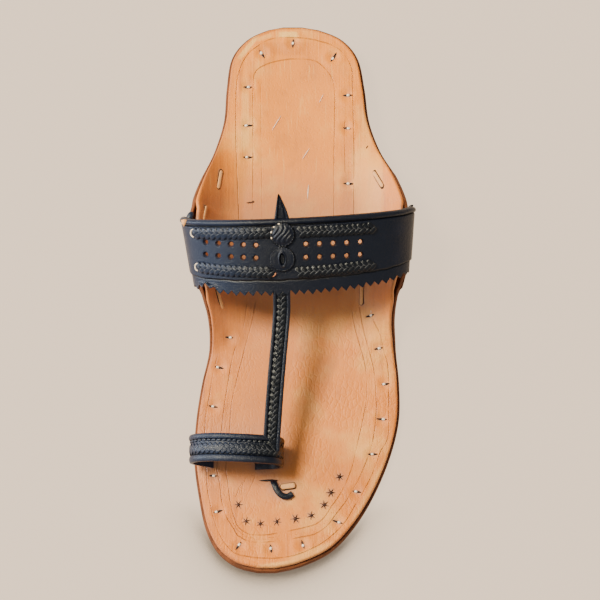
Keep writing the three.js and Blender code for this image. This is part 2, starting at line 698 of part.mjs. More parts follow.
function scallopedShape(diameter, lobes) {
  const points = [];
  for (let k = 0; k < 4 * lobes; k++) {
    const angle = (k * Math.PI) / (2 * lobes);
    const radius = (diameter / 2) * (1 - SCALLOP_DEPTH * (0.5 - 0.5 * Math.cos(lobes * angle)));
    points.push(new THREE.Vector2(radius * Math.cos(angle), radius * Math.sin(angle)));
  }
  return new THREE.Shape(points);
}

const raised = (shape, depth) => new THREE.ExtrudeGeometry(shape, { depth, bevelEnabled: false, curveSegments: 6 });

function rosetteSolid() {
  let made = solid(raised(scallopedShape(ROSETTE_DIAMETER, ROSETTE_LOBES), BOSS_THICKNESS));
  const pitch = (ROSETTE_DIAMETER * PETAL_SPREAD) / PETALS;
  for (let k = 0; k < PETALS; k++) {
    const offset = (k - (PETALS - 1) / 2) * pitch;
    const length = 2 * Math.sqrt((PETAL_SPREAD * ROSETTE_DIAMETER) ** 2 / 4 - offset ** 2 / 2);
    const petal = new THREE.BoxGeometry(pitch * 0.8, length, 2 * PETAL_HEIGHT);
    petal.rotateY(radians(PETAL_TWIST)).translate(offset, 0, BOSS_THICKNESS);
    made = made.add(solid(petal));
  }
  return made;
}

function eyeletSolid() {
  const oval = (grow) =>
    new THREE.Path().absellipse(0, 0, EYELET_WIDTH / 2 + grow, EYELET_LENGTH / 2 + grow, 0, 2 * Math.PI);
  const disc = scallopedShape(EYELET_DIAMETER, ROSETTE_LOBES);
  disc.holes.push(oval(0));
  const rim = new THREE.Shape(oval(EYELET_RIM).getPoints(6).slice(0, -1));
  rim.holes.push(oval(0));
  return solid(raised(disc, BOSS_THICKNESS)).add(solid(raised(rim, BOSS_THICKNESS + EYELET_RIM_HEIGHT)));
}

const placed = (made, frame) => solid(geometryOf(made).applyMatrix4(frame));

let insole = ply(
  () => 0,
  insoleDepth,
  insoleInset,
);
for (const cutter of [ringSlit(RING_ROUTE[0], -1), ringSlit(RING_ROUTE.at(-1), 1), knotSlit()])
  insole = insole.subtract(cutter);
add("insole", insole, tanLeather);

const outsoleTop = (across, station) => insoleDepth(across, station) + spaceDepth(across, station);
const outsoleBottom = (across, station) =>
  insoleDepth(across, station) + tuckDepth(across, station) + OUTSOLE_THICKNESS * skive(across, station);
add("outsole", ply(outsoleTop, outsoleBottom, outsoleInset), edgeLeather);

for (let number = 0; number < HEEL_LIFTS; number++) add(`heel_lift_${number + 1}`, heelLift(number), edgeLeather);

let upper = bandSolid();
for (const punch of punches()) upper = upper.subtract(punch);
upper = upper.add(strapSolid()).add(ringSolid());
add("upper", upper, navyLeather);

for (const plait of BAND_PLAITS) add(plait.name, bandPlait(plait), navyLeather);
add("rosette", placed(rosetteSolid(), bossFrame(ROSETTE_SHARE, HEM_THICKNESS)), navyLeather);
add("eyelet_boss", placed(eyeletSolid(), bossFrame(EYELET_SHARE, BAND_THICKNESS)), navyLeather);
add("thong_knot", knotSolid(), navyLeather);
add("thong_peg", pegSolid(), tanLeather);

// The origin is the middle of the sandal's box, on the floor.
const box = new THREE.Box3().setFromObject(sandal);
const middle = box.getCenter(new THREE.Vector3());
for (const mesh of sandal.children) mesh.geometry.translate(-middle.x, -middle.y, -box.min.z);

export default sandal;
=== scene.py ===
"""Looks of a leather toe-ring sandal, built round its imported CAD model.

The tables and sizes are millimetres in the CAD source's own frame, before that source centres the sandal.
Maker.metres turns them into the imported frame.
"""

import logging
import math
from collections.abc import Callable
from dataclasses import dataclass
from enum import Enum

import bpy
import numpy as np
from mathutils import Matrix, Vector


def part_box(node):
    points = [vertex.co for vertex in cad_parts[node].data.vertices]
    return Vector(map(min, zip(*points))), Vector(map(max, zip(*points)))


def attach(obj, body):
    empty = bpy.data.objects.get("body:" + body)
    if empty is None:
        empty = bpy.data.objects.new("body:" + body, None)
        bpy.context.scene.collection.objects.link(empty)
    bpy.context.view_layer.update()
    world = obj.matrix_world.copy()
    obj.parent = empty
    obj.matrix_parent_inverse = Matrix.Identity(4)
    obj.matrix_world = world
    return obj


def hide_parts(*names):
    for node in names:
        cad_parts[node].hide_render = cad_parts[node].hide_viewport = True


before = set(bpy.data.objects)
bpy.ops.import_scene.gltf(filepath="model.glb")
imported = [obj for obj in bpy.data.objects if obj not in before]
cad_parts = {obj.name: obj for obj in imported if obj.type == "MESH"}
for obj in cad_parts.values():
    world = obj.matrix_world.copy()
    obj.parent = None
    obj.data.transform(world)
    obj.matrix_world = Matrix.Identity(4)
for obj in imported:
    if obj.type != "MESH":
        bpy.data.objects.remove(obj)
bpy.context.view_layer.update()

LOG = logging.getLogger("sandal")
MM = 0.001
Colour = tuple[float, float, float]
Array = np.ndarray
Solid = bpy.types.Object
Rule = Callable[[Array], Array]
Relief = Callable[[Array, Array], Array]
Triple = tuple[Array, Array, Array]


class Slot(Enum):
    """Material slots of the record."""

    TAN = "tan_leather"
    EDGE = "edge_leather"
    NAVY = "navy_leather"


def srgb(red: int, green: int, blue: int) -> Colour:
    """Turns screen levels from 0 to 255 into linear light.

    Args: red, green, blue, the three levels.
    Returns: the linear colour.
    """
    levels = (c / 255 for c in (red, green, blue))
    return tuple(c / 12.92 if c <= 0.04045 else ((c + 0.055) / 1.055) ** 2.4 for c in levels)


def smooth(value: Array | float, low: float, high: float) -> Array:
    """Eases from 0 at low to 1 at high.

    Args: value, what is eased; low, high, where it starts and ends.
    Returns: the eased values.
    """
    t = np.clip((np.asarray(value, float) - low) / (high - low), 0, 1)
    return t * t * (3 - 2 * t)


def unit(vectors: Array) -> Array:
    """Scales vectors to length one.

    Args: vectors, an array whose last axis is x, y, z.
    Returns: the same directions with length one.
    """
    return vectors / np.maximum(np.linalg.norm(vectors, axis=-1, keepdims=True), 1e-12)


def tube_faces(rings: int, around: int, closed: bool = True) -> list[list[int]]:
    """Args: rings; around, the points in each; closed, with ends. Returns: a tube's faces."""
    faces = []
    for i in range(rings - 1):
        for j in range(around):
            k = (j + 1) % around
            faces.append([i * around + j, (i + 1) * around + j, (i + 1) * around + k, i * around + k])
    if closed:
        last = (rings - 1) * around
        faces += [list(range(around)), list(range(last + around - 1, last - 1, -1))]
    return faces


@dataclass(frozen=True)
class SoleSizes:
    """Sizes of the sole, as in the CAD source."""

    length: float = 280
    ball_width: float = 102
    insole: float = 2.6
    outsole: float = 3.6
    gap: float = 0.3
    edge_step: float = 1.3
    ear_step: float = 3.2
    ear_height: float = 27
    ear_fold: float = 0.56
    ear_curve: float = 1.8
    ear_skive: float = 0.45
    lifts: int = 3
    lift: float = 3.7
    heel_length: float = 62
    toe_spring: float = 6
    clearance: float = 0.6


@dataclass(frozen=True)
class BandSizes:
    """Sizes of the instep band and its plaits, as in the CAD source."""

    thickness: float = 2
    hem: float = 2.5
    skirt: float = 1.2
    rear_y: float = 34.6
    front_y: float = 2.7
    skew: float = 2.6
    bow_rear: float = 8.2
    bow_front: float = 11.7
    bulge: float = 3
    flare: float = 1.6
    spring: float = 7.5
    crest_x: float = -5
    crown_rear: float = 64
    crown_front: float = 50
    teeth: int = 30
    tooth_depth: float = 2.2
    plait_width: float = 5


@dataclass(frozen=True)
class StrapSizes:
    """Sizes of the strap down the foot, the toe ring and the knot, as in the CAD source."""

    width: float = 8.5
    thickness: float = 2.2
    bite: float = 0.7
    x: float = -9
    knee: float = 8
    end_across: float = 0.79
    end_up: float = 0.94
    spike: float = 11.8
    spike_lean: float = 1.5
    ring_width: float = 14
    ring_thickness: float = 2
    ring_x: float = -31.4
    ring_front_y: float = -89
    ring_skew: float = 1
    ring_half_width: float = 21.6
    ring_height: float = 24.6
    knot_x: float = -13.4
    knot_y: float = -95.6
    knot_width: float = 3
    knot_thickness: float = 1.3


SOLE = SoleSizes()
BAND = BandSizes()
STRAP = StrapSizes()

# The sole's table: how far along it is, its medial and lateral edges and its ears there, all as shares.
SOLE_ROWS = np.array([
    (0.0, -0.085, 0.01, 0), (0.006, -0.165, 0.098, 0), (0.025, -0.268, 0.213, 0), (0.062, -0.345, 0.293, 0),
    (0.12, -0.37, 0.326, 0), (0.18, -0.382, 0.347, 0), (0.235, -0.424, 0.398, 0.1),
    (0.29, -0.482, 0.474, 0.42), (0.345, -0.53, 0.526, 0.8), (0.4, -0.548, 0.55, 1),
    (0.455, -0.535, 0.537, 0.97), (0.505, -0.496, 0.494, 0.72), (0.55, -0.455, 0.467, 0.33),
    (0.6, -0.45, 0.476, 0.04), (0.66, -0.486, 0.492, 0), (0.73, -0.514, 0.489, 0), (0.8, -0.522, 0.44, 0),
    (0.87, -0.496, 0.354, 0), (0.925, -0.46, 0.255, 0), (0.965, -0.4, 0.144, 0), (0.99, -0.31, -0.002, 0),
    (1.0, -0.205, -0.12, 0),
])
ALONG, MEDIAL, LATERAL, EAR = range(4)


class Curve:
    """A centripetal curve through points, measured by its length."""

    def __init__(self, points: Array, steps: int = 24) -> None:
        """Args: points, one row each; steps, how finely each stretch is sampled."""
        p = np.asarray(points, float)
        p = np.vstack([2 * p[0] - p[1], p, 2 * p[-1] - p[-2]])
        t = np.linspace(0, 1, steps, endpoint=False)[:, None]
        rows = []
        for a, b, c, d in zip(p, p[1:], p[2:], p[3:]):
            d0, d1, d2 = (max(np.linalg.norm(v - u) ** 0.5, 1e-4) for u, v in ((a, b), (b, c), (c, d)))
            start = ((b - a) / d0 - (c - a) / (d0 + d1) + (c - b) / d1) * d1
            end = ((c - b) / d1 - (d - b) / (d1 + d2) + (d - c) / d2) * d1
            bend = 2 * (b - c) + start + end
            rows.append(b + t * (start + t * (3 * (c - b) - 2 * start - end + t * bend)))
        self.samples = np.vstack([*rows, p[-2:-1]])
        lengths = np.linalg.norm(np.diff(self.samples, axis=0), axis=1)
        self.reach = np.concatenate([[0], np.cumsum(lengths)])
        self.length = float(self.reach[-1])
        self.steps = steps

    def at(self, places: Array) -> Array:
        """Args: places, shares of the length. Returns: the points there."""
        s = np.clip(places, 0, 1) * self.length
        return np.stack([np.interp(s, self.reach, self.samples[:, k]) for k in range(3)], axis=-1)

    def tangents(self, places: Array) -> Array:
        """Args: places, shares of the length. Returns: the directions there."""
        step = 0.004
        return unit(self.at(np.minimum(places + step, 1)) - self.at(np.maximum(places - step, 0)))


class SoleForm:
    """The surface that both plies of the sole follow."""

    STEP = 0.004

    def __init__(self) -> None:
        """Prepares the table that turns a share of the length into a station."""
        fine = np.linspace(0, 1, 4001)
        self._stations = fine
        self._alongs = self.column(ALONG, fine)

    @staticmethod
    def column(name: int, station: Array) -> Array:
        """Args: name, a column of the table; station, 0 at the heel to 1 at the toe. Returns: its values."""
        place = np.clip(station, 0, 1) * (len(SOLE_ROWS) - 1)
        i = np.minimum(np.floor(place).astype(int), len(SOLE_ROWS) - 2)
        f = place - i
        p, q, r, s = (SOLE_ROWS[np.clip(i + k, 0, len(SOLE_ROWS) - 1), name] for k in (-1, 0, 1, 2))
        return q + 0.5 * f * (r - p + f * (2 * p - 5 * q + 4 * r - s + f * (3 * (q - r) + s - p)))

    def station_at(self, along: Array) -> Array:
        """Args: along, shares of the sole's length. Returns: the stations there."""
        return np.interp(along, self._alongs, self._stations)

    def station_of_y(self, y: Array) -> Array:
        """Args: y in millimetres. Returns: the stations there."""
        return self.station_at(0.5 - np.asarray(y) / SOLE.length)

    def ear(self, station: Array) -> Array:
        """Args: station. Returns: the ear's height there as a share of its most."""
        return np.clip(self.column(EAR, station), 0, 1)

    def tuck(self, station: Array) -> Array:
        """Args: station. Returns: how far the plies are spread for the band, from 0 to 1."""
        y = SOLE.length * (0.5 - self.column(ALONG, station))
        rear, front = BAND.rear_y + BAND.skew, BAND.front_y - BAND.skew
        return smooth(-y, -rear - 6, -rear - 1) * (1 - smooth(-y, -front + 1.5, -front + 8))

    @staticmethod
    def rise(along: Array) -> Array:
        """Args: along, shares of the length. Returns: the underside's height there."""
        heel = SOLE.lifts * (SOLE.lift + SOLE.gap) * (1 - smooth(along, 0.27, 0.5))
        return heel + SOLE.toe_spring * np.clip((np.asarray(along) - 0.8) / 0.2, 0, 1) ** 2

    @property
    def top(self) -> float:
        """Height of the insole's top on the flat."""
        return SOLE.outsole + SOLE.gap + SOLE.insole

    def outline(self, side: int, station: Array, inset: Array) -> tuple[Array, Array]:
        """Gives the outline, drawn in.

        Args: side, -1 medial or 1 lateral; station, where along the sole; inset, distance from the edge.
        Returns: the outline's x and y.
        """
        name = MEDIAL if side < 0 else LATERAL

        def at(s: Array) -> tuple[Array, Array]:
            """Args: s, stations. Returns: x and y of the edge there."""
            return SOLE.ball_width * self.column(name, s), SOLE.length * (0.5 - self.column(ALONG, s))

        x, y = at(station)
        xa, ya = at(np.maximum(0, station - self.STEP))
        xb, yb = at(np.minimum(1, station + self.STEP))
        length = np.hypot(xb - xa, yb - ya)
        return x + inset * side * (yb - ya) / length, y - inset * side * (xb - xa) / length

    @property
    def tuck_spread(self) -> float:
        """How much further apart the plies are where the band goes between them."""
        return BAND.thickness + 2 * SOLE.clearance - SOLE.gap

    def insole_inset(self, station: Array) -> Array:
        """Args: station. Returns: how far the insole's edge lies inside the outline."""
        ear = self.ear(station)
        return SOLE.edge_step * (1 - ear) + SOLE.ear_step * ear + 0.45 * self.tuck_spread * self.tuck(station)

    def outsole_inset(self, station: Array) -> Array:
        """Args: station. Returns: the same for the outsole."""
        return self.insole_inset(station) - SOLE.edge_step * (1 - self.ear(station))

    def turned(self, across: Array, station: Array) -> Array:
        """Args: across, -1 to 1; station. Returns: how far the ear is turned up there, from 0 to 1."""
        share = np.clip((np.abs(across) - SOLE.ear_fold) / (1 - SOLE.ear_fold), 0, 1)
        return self.ear(station) * share**SOLE.ear_curve

    def sheet(self, across: Array, station: Array, inset: Rule) -> Array:
        """Args: across; station; inset, a function of the station. Returns: points of the insole's top."""
        xm, ym = self.outline(-1, station, inset(station))
        xl, yl = self.outline(1, station, inset(station))
        f = (across + 1) / 2
        y = ym + (yl - ym) * f
        z = self.top + self.rise(0.5 - y / SOLE.length) + SOLE.ear_height * self.turned(across, station)
        return np.stack([xm + (xl - xm) * f, y, z], axis=-1)

    def normals(self, across: Array, station: Array, inset: Rule) -> Array:
        """Args: as for sheet. Returns: its normals."""
        behind = self.sheet(across, np.maximum(0, station - self.STEP), inset)
        ahead = self.sheet(across, np.minimum(1, station + self.STEP), inset)
        over = self.sheet(across + self.STEP, station, inset) - self.sheet(across - self.STEP, station, inset)
        return unit(np.cross(over, behind - ahead))

    def below(self, across: Array, station: Array, depth: Array, inset: Rule | None = None) -> Array:
        """Args: as for sheet, with a depth under it. Returns: the points there."""
        inset = inset or self.insole_inset
        across, station = np.broadcast_arrays(across, station)
        down = self.normals(across, station, inset) * np.asarray(depth)[..., None]
        return self.sheet(across, station, inset) - down

    def insole_depth(self, across: Array, station: Array) -> Array:
        """Args: across; station. Returns: the insole's thickness there."""
        return SOLE.insole * (1 - SOLE.ear_skive * self.turned(across, station))

    def tuck_depth(self, across: Array, station: Array) -> Array:
        """Args: across; station. Returns: the space between the plies there."""
        return SOLE.gap + self.tuck_spread * self.tuck(station) * smooth(np.abs(across), SOLE.ear_fold, 0.8)

    def surface_at(self, x: Array, y: Array) -> tuple[Array, Array]:
        """Args: x, y in millimetres. Returns: the insole's points and normals there."""
        x, y = np.atleast_1d(x).astype(float), np.atleast_1d(y).astype(float)
        station = self.station_of_y(y)
        xm, _ = self.outline(-1, station, self.insole_inset(station))
        xl, _ = self.outline(1, station, self.insole_inset(station))
        across = np.clip(2 * (x - xm) / (xl - xm) - 1, -0.99, 0.99)
        normals = self.normals(across, station, self.insole_inset)
        return self.sheet(across, station, self.insole_inset), normals


class BandForm:
    """The instep band's inner face and normals."""

    ARCH = np.radians([-90, -68, -45, -22, 0, 22, 45, 68, 90])

    def __init__(self, sole: SoleForm) -> None:
        """Args: sole, whose plies hold the band's ends."""
        self.sole = sole
        self._curves: dict[float, Curve] = {}
        self.span = math.hypot(BAND.rear_y - BAND.front_y, BAND.crown_rear - BAND.crown_front)
        tabs = []
        for share in (0.0, 1.0):
            curve = self.curve(share)
            tabs.append((curve.reach[2 * curve.steps] + 2 * BAND.hem) / curve.length)
        self.tab = max(tabs)

    @staticmethod
    def end_y(side: Array, share: float) -> Array:
        """Args: side, -1 to 1; share. Returns: the band's y at its ends."""
        return BAND.rear_y + (BAND.front_y - BAND.rear_y) * share + side * BAND.skew

    def _end(self, side: int, share: float) -> Array:
        """Args: side; share. Returns: three points of the band's end between the plies."""
        across = side * np.array([0.8, 0.9, 1.0])
        station = np.full(3, self.sole.station_of_y(self.end_y(side, share)))
        return self.sole.below(across, station, self.sole.insole_depth(across, station) + SOLE.clearance)

    def _root(self, side: int, share: float) -> Array:
        """Args: side; share. Returns: where the band comes out from between the plies."""
        rear, front = self._end(side, 0.0)[-1], self._end(side, 1.0)[-1]
        return rear + (front - rear) * share

    def curve(self, share: float) -> Curve:
        """Args: share, 0 at the rear edge to 1 at the front. Returns: the section there."""
        key = round(float(share), 6)
        if key not in self._curves:
            medial, lateral = self._end(-1, share), self._end(1, share)
            left, right = self._root(-1, share), self._root(1, share)
            sine, cosine = np.sin(self.ARCH), np.cos(self.ARCH)
            f = (sine + 1) / 2
            foot = left[2] + (right[2] - left[2]) * f + BAND.spring
            crown = BAND.crown_rear + (BAND.crown_front - BAND.crown_rear) * share
            bow = BAND.bow_rear + (BAND.bow_front - BAND.bow_rear) * share
            low, high = left[0] - BAND.bulge - BAND.flare * (1 - share), right[0] + BAND.bulge
            x = low + (high - low) * f + BAND.crest_x * cosine
            y = self.end_y(sine, share) - bow * cosine
            arch = np.stack([x, y, foot + (crown - foot) * cosine], axis=-1)
            self._curves[key] = Curve(np.vstack([medial, arch, lateral[::-1]]))
        return self._curves[key]

    def at(self, place: Array, share: float, height: float = 0.0) -> Triple:
        """Points of the band.

        Args: place, shares of its length across the foot; share, from the rear edge to the front one;
            height, above the inner face.
        Returns: the points, the outward normals and the directions across the foot.
        """
        curve = self.curve(share)
        point = curve.at(place)
        forward = self.curve(share + 0.01).at(place) - point
        tangent = curve.tangents(place)
        normal = unit(np.cross(forward, tangent))
        return point + normal * np.asarray(height)[..., None], normal, tangent

    def place_of_x(self, x: Array, share: float) -> Array:
        """Args: x in millimetres; share. Returns: the places there."""
        places = np.linspace(self.tab, 1 - self.tab, 400)
        return np.interp(x, self.curve(share).at(places)[:, 0], places)

    def spot(self, x: float, share: float, height: float = 0.0) -> Triple:
        """Args: x in millimetres; share; height. Returns: the point, normal and direction across it."""
        return tuple(found[0] for found in self.at(self.place_of_x(np.array([x]), share), share, height))


class Maker:
    """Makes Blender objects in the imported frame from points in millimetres."""

    def __init__(self, sole: SoleForm) -> None:
        """Args: sole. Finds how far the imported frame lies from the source's own."""
        low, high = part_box("heel_lift_1")
        outline = self.lift_outline(sole)
        middle = (outline.min(axis=0) + outline.max(axis=0)) / 2
        centre = (np.array(low) + np.array(high)) / 2 / MM
        self.shift = np.array([centre[0] - middle[0], centre[1] - middle[1], 0.0])
        LOG.info("the source is centred by %s mm", np.round(self.shift, 3))

    @staticmethod
    def lift_outline(sole: SoleForm, inset: float = 0.0, steps: int = 12) -> Array:
        """Args: sole; inset; steps from heel to breast. Returns: a heel lift's outline, x and y."""
        stations = np.linspace(0, 1, steps + 1) * float(sole.station_at(SOLE.heel_length / SOLE.length))
        medial = np.stack(sole.outline(-1, stations, np.full_like(stations, inset)), axis=-1)
        lateral = np.stack(sole.outline(1, stations, np.full_like(stations, inset)), axis=-1)
        return np.vstack([medial[::-1], lateral])

    def metres(self, points: Array) -> Array:
        """Args: points in the source's millimetres. Returns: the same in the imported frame."""
        return (np.asarray(points, float) + self.shift) * MM

    def mesh(self, name: str, points: Array, faces: list, material: bpy.types.Material | None) -> Solid:
        """Args: name; points in millimetres; faces; material. Returns: a smooth-shaded object."""
        data = bpy.data.meshes.new(name)
        data.from_pydata(self.metres(points).tolist(), [], faces)
        data.validate()
        data.polygons.foreach_set("use_smooth", [True] * len(data.polygons))
        if material:
            data.materials.append(material)
        made = bpy.data.objects.new(name, data)
        bpy.context.scene.collection.objects.link(made)
        return made

    @staticmethod
    def rim(rows: int, columns: int) -> list[int]:
        """Args: rows, columns of a grid. Returns: the numbers of its border points, in order round it."""
        index = np.arange(rows * columns).reshape(rows, columns)
        return [*index[0, :], *index[1:, -1], *index[-1, -2::-1], *index[-2:0:-1, 0]]

    def slab(
        self, name: str, outer: Array, inner: Array, material: bpy.types.Material, between: tuple = ()
    ) -> Solid:
        """Makes a closed slab from two faces.

        Args: name; outer, inner, the faces as grids of points; material, the finish; between, more grids
            whose borders shape the edge, from the outer face to the inner one.
        Returns: the slab.
        """
        rows, columns = outer.shape[:2]
        rim = self.rim(rows, columns)
        middles = [grid.reshape(-1, 3)[rim] for grid in between]
        points = np.vstack([outer.reshape(-1, 3), inner.reshape(-1, 3), *middles])
        index = np.arange(rows * columns).reshape(rows, columns)
        a, b, c, d = index[:-1, :-1], index[:-1, 1:], index[1:, 1:], index[1:, :-1]
        faces = np.stack([a, b, c, d], axis=-1).reshape(-1, 4).tolist()
        faces += (np.stack([d, c, b, a], axis=-1).reshape(-1, 4) + rows * columns).tolist()
        starts = [2 * rows * columns + k * len(rim) for k in range(len(between))]
        middle_loops = [list(range(first, first + len(rim))) for first in starts]
        loops = [rim, *middle_loops, [k + rows * columns for k in rim]]
        for high, low in zip(loops, loops[1:]):
            faces += [[q, p, r, s] for p, q, r, s in zip(high, high[1:] + high[:1], low, low[1:] + low[:1])]
        made = self.mesh(name, points, faces, material)
        self.face_out(made)
        return made

    @staticmethod
    def face_out(made: Solid) -> None:
        """Args: made, a closed mesh whose faces all agree. Turns them outwards if they face in."""
        data = made.data
        data.calc_loop_triangles()
        co = np.empty(len(data.vertices) * 3)
        data.vertices.foreach_get("co", co)
        co = co.reshape(-1, 3)
        tris = np.array([t.vertices[:] for t in data.loop_triangles])
        p, q, r = co[tris[:, 0]], co[tris[:, 1]], co[tris[:, 2]]
        if np.einsum("ij,ij->i", p, np.cross(q, r)).sum() < 0:
            data.flip_normals()

    @staticmethod
    def attribute(made: Solid, name: str, values: Array) -> None:
        """Args: made; name; values, one for each vertex. Stores them on its mesh."""
        kind = "FLOAT" if values.ndim == 1 else "FLOAT_VECTOR"
        layer = made.data.attributes.new(name, kind, "POINT")
        layer.data.foreach_set("value" if values.ndim == 1 else "vector", values.astype(float).ravel())

    @staticmethod
    def settle(made: Solid) -> None:
        """Args: made. Replaces its mesh by what its modifiers give and clears them."""
        graph = bpy.context.evaluated_depsgraph_get()
        graph.update()
        data = bpy.data.meshes.new_from_object(
            made.evaluated_get(graph), preserve_all_data_layers=True, depsgraph=graph
        )
        made.modifiers.clear()
        made.data = data

    def round_edges(self, made: Solid, width: float, segments: int = 2, degrees: float = 45) -> None:
        """Rounds the sharp edges.

        Args: made, a closed mesh; width, of the rounding in millimetres; segments, how many faces it has;
            degrees, how sharp an edge must be.
        """
        bevel = made.modifiers.new("rounded", "BEVEL")
        bevel.width = width * MM
        bevel.segments = segments
        bevel.limit_method = "ANGLE"
        bevel.angle_limit = math.radians(degrees)
        self.settle(made)

    @staticmethod
    def hand_in(made: Solid, slot: Slot, *nodes: str) -> Solid:
        """Args: made; its material slot; the CAD nodes it stands for. Returns: made."""
        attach(made, "root")
        faces = len(made.data.polygons)
        LOG.info("%s: %d faces, slot %s, stands for %s", made.name, faces, slot.value, nodes or "no node")
        if nodes:
            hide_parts(*nodes)
        return made


class Value:
    """A shader value that arithmetic can be written with."""

    def __init__(self, graph: "Graph", socket: bpy.types.NodeSocket) -> None:
        """Args: graph; socket, which gives the value."""
        self.graph = graph
        self.socket = socket

    def _math(self, operation: str, *others: "Value | float") -> "Value":
        """Args: operation; others. Returns: its result on this value and the others."""
        return self.graph.math(operation, self, *others)

    def __add__(self, other: "Value | float") -> "Value":
        """Args: other. Returns: the sum."""
        return self._math("ADD", other)

    __radd__ = __add__

    def __sub__(self, other: "Value | float") -> "Value":
        """Args: other. Returns: the difference."""
        return self._math("SUBTRACT", other)

    def __rsub__(self, other: float) -> "Value":
        """Args: other. Returns: other less this."""
        return self.graph.math("SUBTRACT", other, self)

    def __mul__(self, other: "Value | float") -> "Value":
        """Args: other. Returns: the product."""
        return self._math("MULTIPLY", other)

    __rmul__ = __mul__

    def __abs__(self) -> "Value":
        """Returns: the size without its sign."""
        return self._math("ABSOLUTE")

    def most(self, other: "Value | float") -> "Value":
        """Args: other. Returns: the greater of the two."""
        return self._math("MAXIMUM", other)

    def eased(self, low: float, high: float) -> "Value":
        """Args: low, high. Returns: a value easing from 0 at low to 1 at high."""
        return self.graph.eased(self, low, high)

    def line(self, centre: float, half_width: float) -> "Value":
        """Args: centre; half_width. Returns: 1 on the line at that value, easing to 0 at its edges."""
        return 1.0 - abs(self - centre).eased(0.0, half_width)


class NodeTree:
    """A node tree with a short way to add linked nodes."""

    tree: bpy.types.NodeTree

    def node(self, kind: str, inputs: dict | None = None, **settings) -> bpy.types.Node:
        """Args: kind; inputs by name or number; settings. Returns: the node, linked."""
        made = self.tree.nodes.new(kind)
        for key, value in settings.items():
            setattr(made, key, value)
        self._feed(made, inputs or {})
        return made

    def _feed(self, made: bpy.types.Node, inputs: dict) -> None:
        """Args: made; inputs by name or number, which are linked or set on it."""
        for key, value in inputs.items():
            value = value.socket if isinstance(value, Value) else value
            if isinstance(value, bpy.types.NodeSocket):
                self.tree.links.new(value, made.inputs[key])
            else:
                wide = made.inputs[key].type == "RGBA"
                made.inputs[key].default_value = (*value, 1) if wide else value


class Graph(NodeTree):
    """A material's node tree with short words for what a leather needs."""

    def __init__(self, name: str) -> None:
        """Args: name, the material's."""
        self.material = bpy.data.materials.new(name)
        self.material.use_nodes = True
        self.tree = self.material.node_tree
        self.tree.nodes.clear()
        self.shader = self.node("ShaderNodeBsdfPrincipled")
        output = self.node("ShaderNodeOutputMaterial")
        self.tree.links.new(self.shader.outputs["BSDF"], output.inputs["Surface"])
        self._object = None

    def math(self, operation: str, *values: Value | float) -> Value:
        """Args: operation; values. Returns: the result."""
        made = self.node("ShaderNodeMath", dict(enumerate(values)), operation=operation)
        return Value(self, made.outputs[0])

    def eased(self, value: Value, low: float, high: float) -> Value:
        """Args: value; low, high. Returns: it eased from 0 to 1 between them."""
        inputs = {"Value": value, "From Min": low, "From Max": high}
        made = self.node("ShaderNodeMapRange", inputs, interpolation_type="SMOOTHSTEP")
        return Value(self, made.outputs["Result"])

    def attribute(self, name: str) -> Value:
        """Args: name. Returns: that attribute of the mesh."""
        return Value(self, self.node("ShaderNodeAttribute", attribute_name=name).outputs["Fac"])

    def place(self, scale: tuple[float, float, float] = (1, 1, 1), turn: float = 0.0) -> bpy.types.NodeSocket:
        """Args: scale; turn about Z in degrees. Returns: object coordinates, turned and scaled."""
        if self._object is None:
            self._object = self.node("ShaderNodeTexCoord").outputs["Object"]
        rotation = (0.0, 0.0, math.radians(turn))
        made = self.node("ShaderNodeMapping", {"Vector": self._object, "Scale": scale, "Rotation": rotation})
        return made.outputs["Vector"]

    def axis(self, name: str) -> Value:
        """Args: name, X, Y or Z. Returns: that object coordinate in metres."""
        return Value(self, self.node("ShaderNodeSeparateXYZ", {0: self.place()}).outputs[name])

    def openness(self, distance: float) -> Value:
        """Args: distance looked over, in metres. Returns: 1 in the open, 0 where shut in."""
        made = self.node("ShaderNodeAmbientOcclusion", {"Distance": distance}, samples=8)
        return Value(self, made.outputs["AO"])

    def noise(
        self,
        vector: bpy.types.NodeSocket,
        scale: float,
        detail: float = 3.0,
        rough: float = 0.5,
        warp: float = 0.0,
    ) -> Value:
        """Args: vector; scale; detail; rough; warp. Returns: noise about 0.5."""
        inputs = {"Vector": vector, "Scale": scale, "Detail": detail, "Roughness": rough, "Distortion": warp}
        return Value(self, self.node("ShaderNodeTexNoise", inputs).outputs["Fac"])

    def cells(self, vector: bpy.types.NodeSocket, scale: float, feature: str = "F1") -> Value:
        """Args: vector; scale; feature. Returns: the distance in a cell pattern."""
        inputs = {"Vector": vector, "Scale": scale}
        return Value(self, self.node("ShaderNodeTexVoronoi", inputs, feature=feature).outputs["Distance"])

    def mix(self, first: Value | Colour, second: Value | Colour, share: Value | float) -> Value:
        """Args: first, second, colours; share of the second. Returns: the mixed colour."""
        made = self.node("ShaderNodeMix", data_type="RGBA")
        self._feed(made, {6: first, 7: second, 0: share})
        return Value(self, made.outputs[2])

    def bump(self, height: Value, distance: float, strength: float, under: Value | None = None) -> Value:
        """Args: height; distance in metres; strength; under, another bump. Returns: the normal."""
        inputs = {"Height": height, "Distance": distance, "Strength": strength}
        if under:
            inputs["Normal"] = under
        return Value(self, self.node("ShaderNodeBump", inputs).outputs["Normal"])

    def finish(
        self, colour: Value | Colour, rough: Value | float, normal: Value | None = None, **plain: float
    ) -> bpy.types.Material:
        """Args: colour; rough; normal; plain, constants by socket name. Returns: the material."""
        values = {"Base Color": colour, "Roughness": rough}
        if normal:
            values["Normal"] = normal
        values.update({name.replace("_", " "): value for name, value in plain.items()})
        self._feed(self.shader, values)
        return self.material


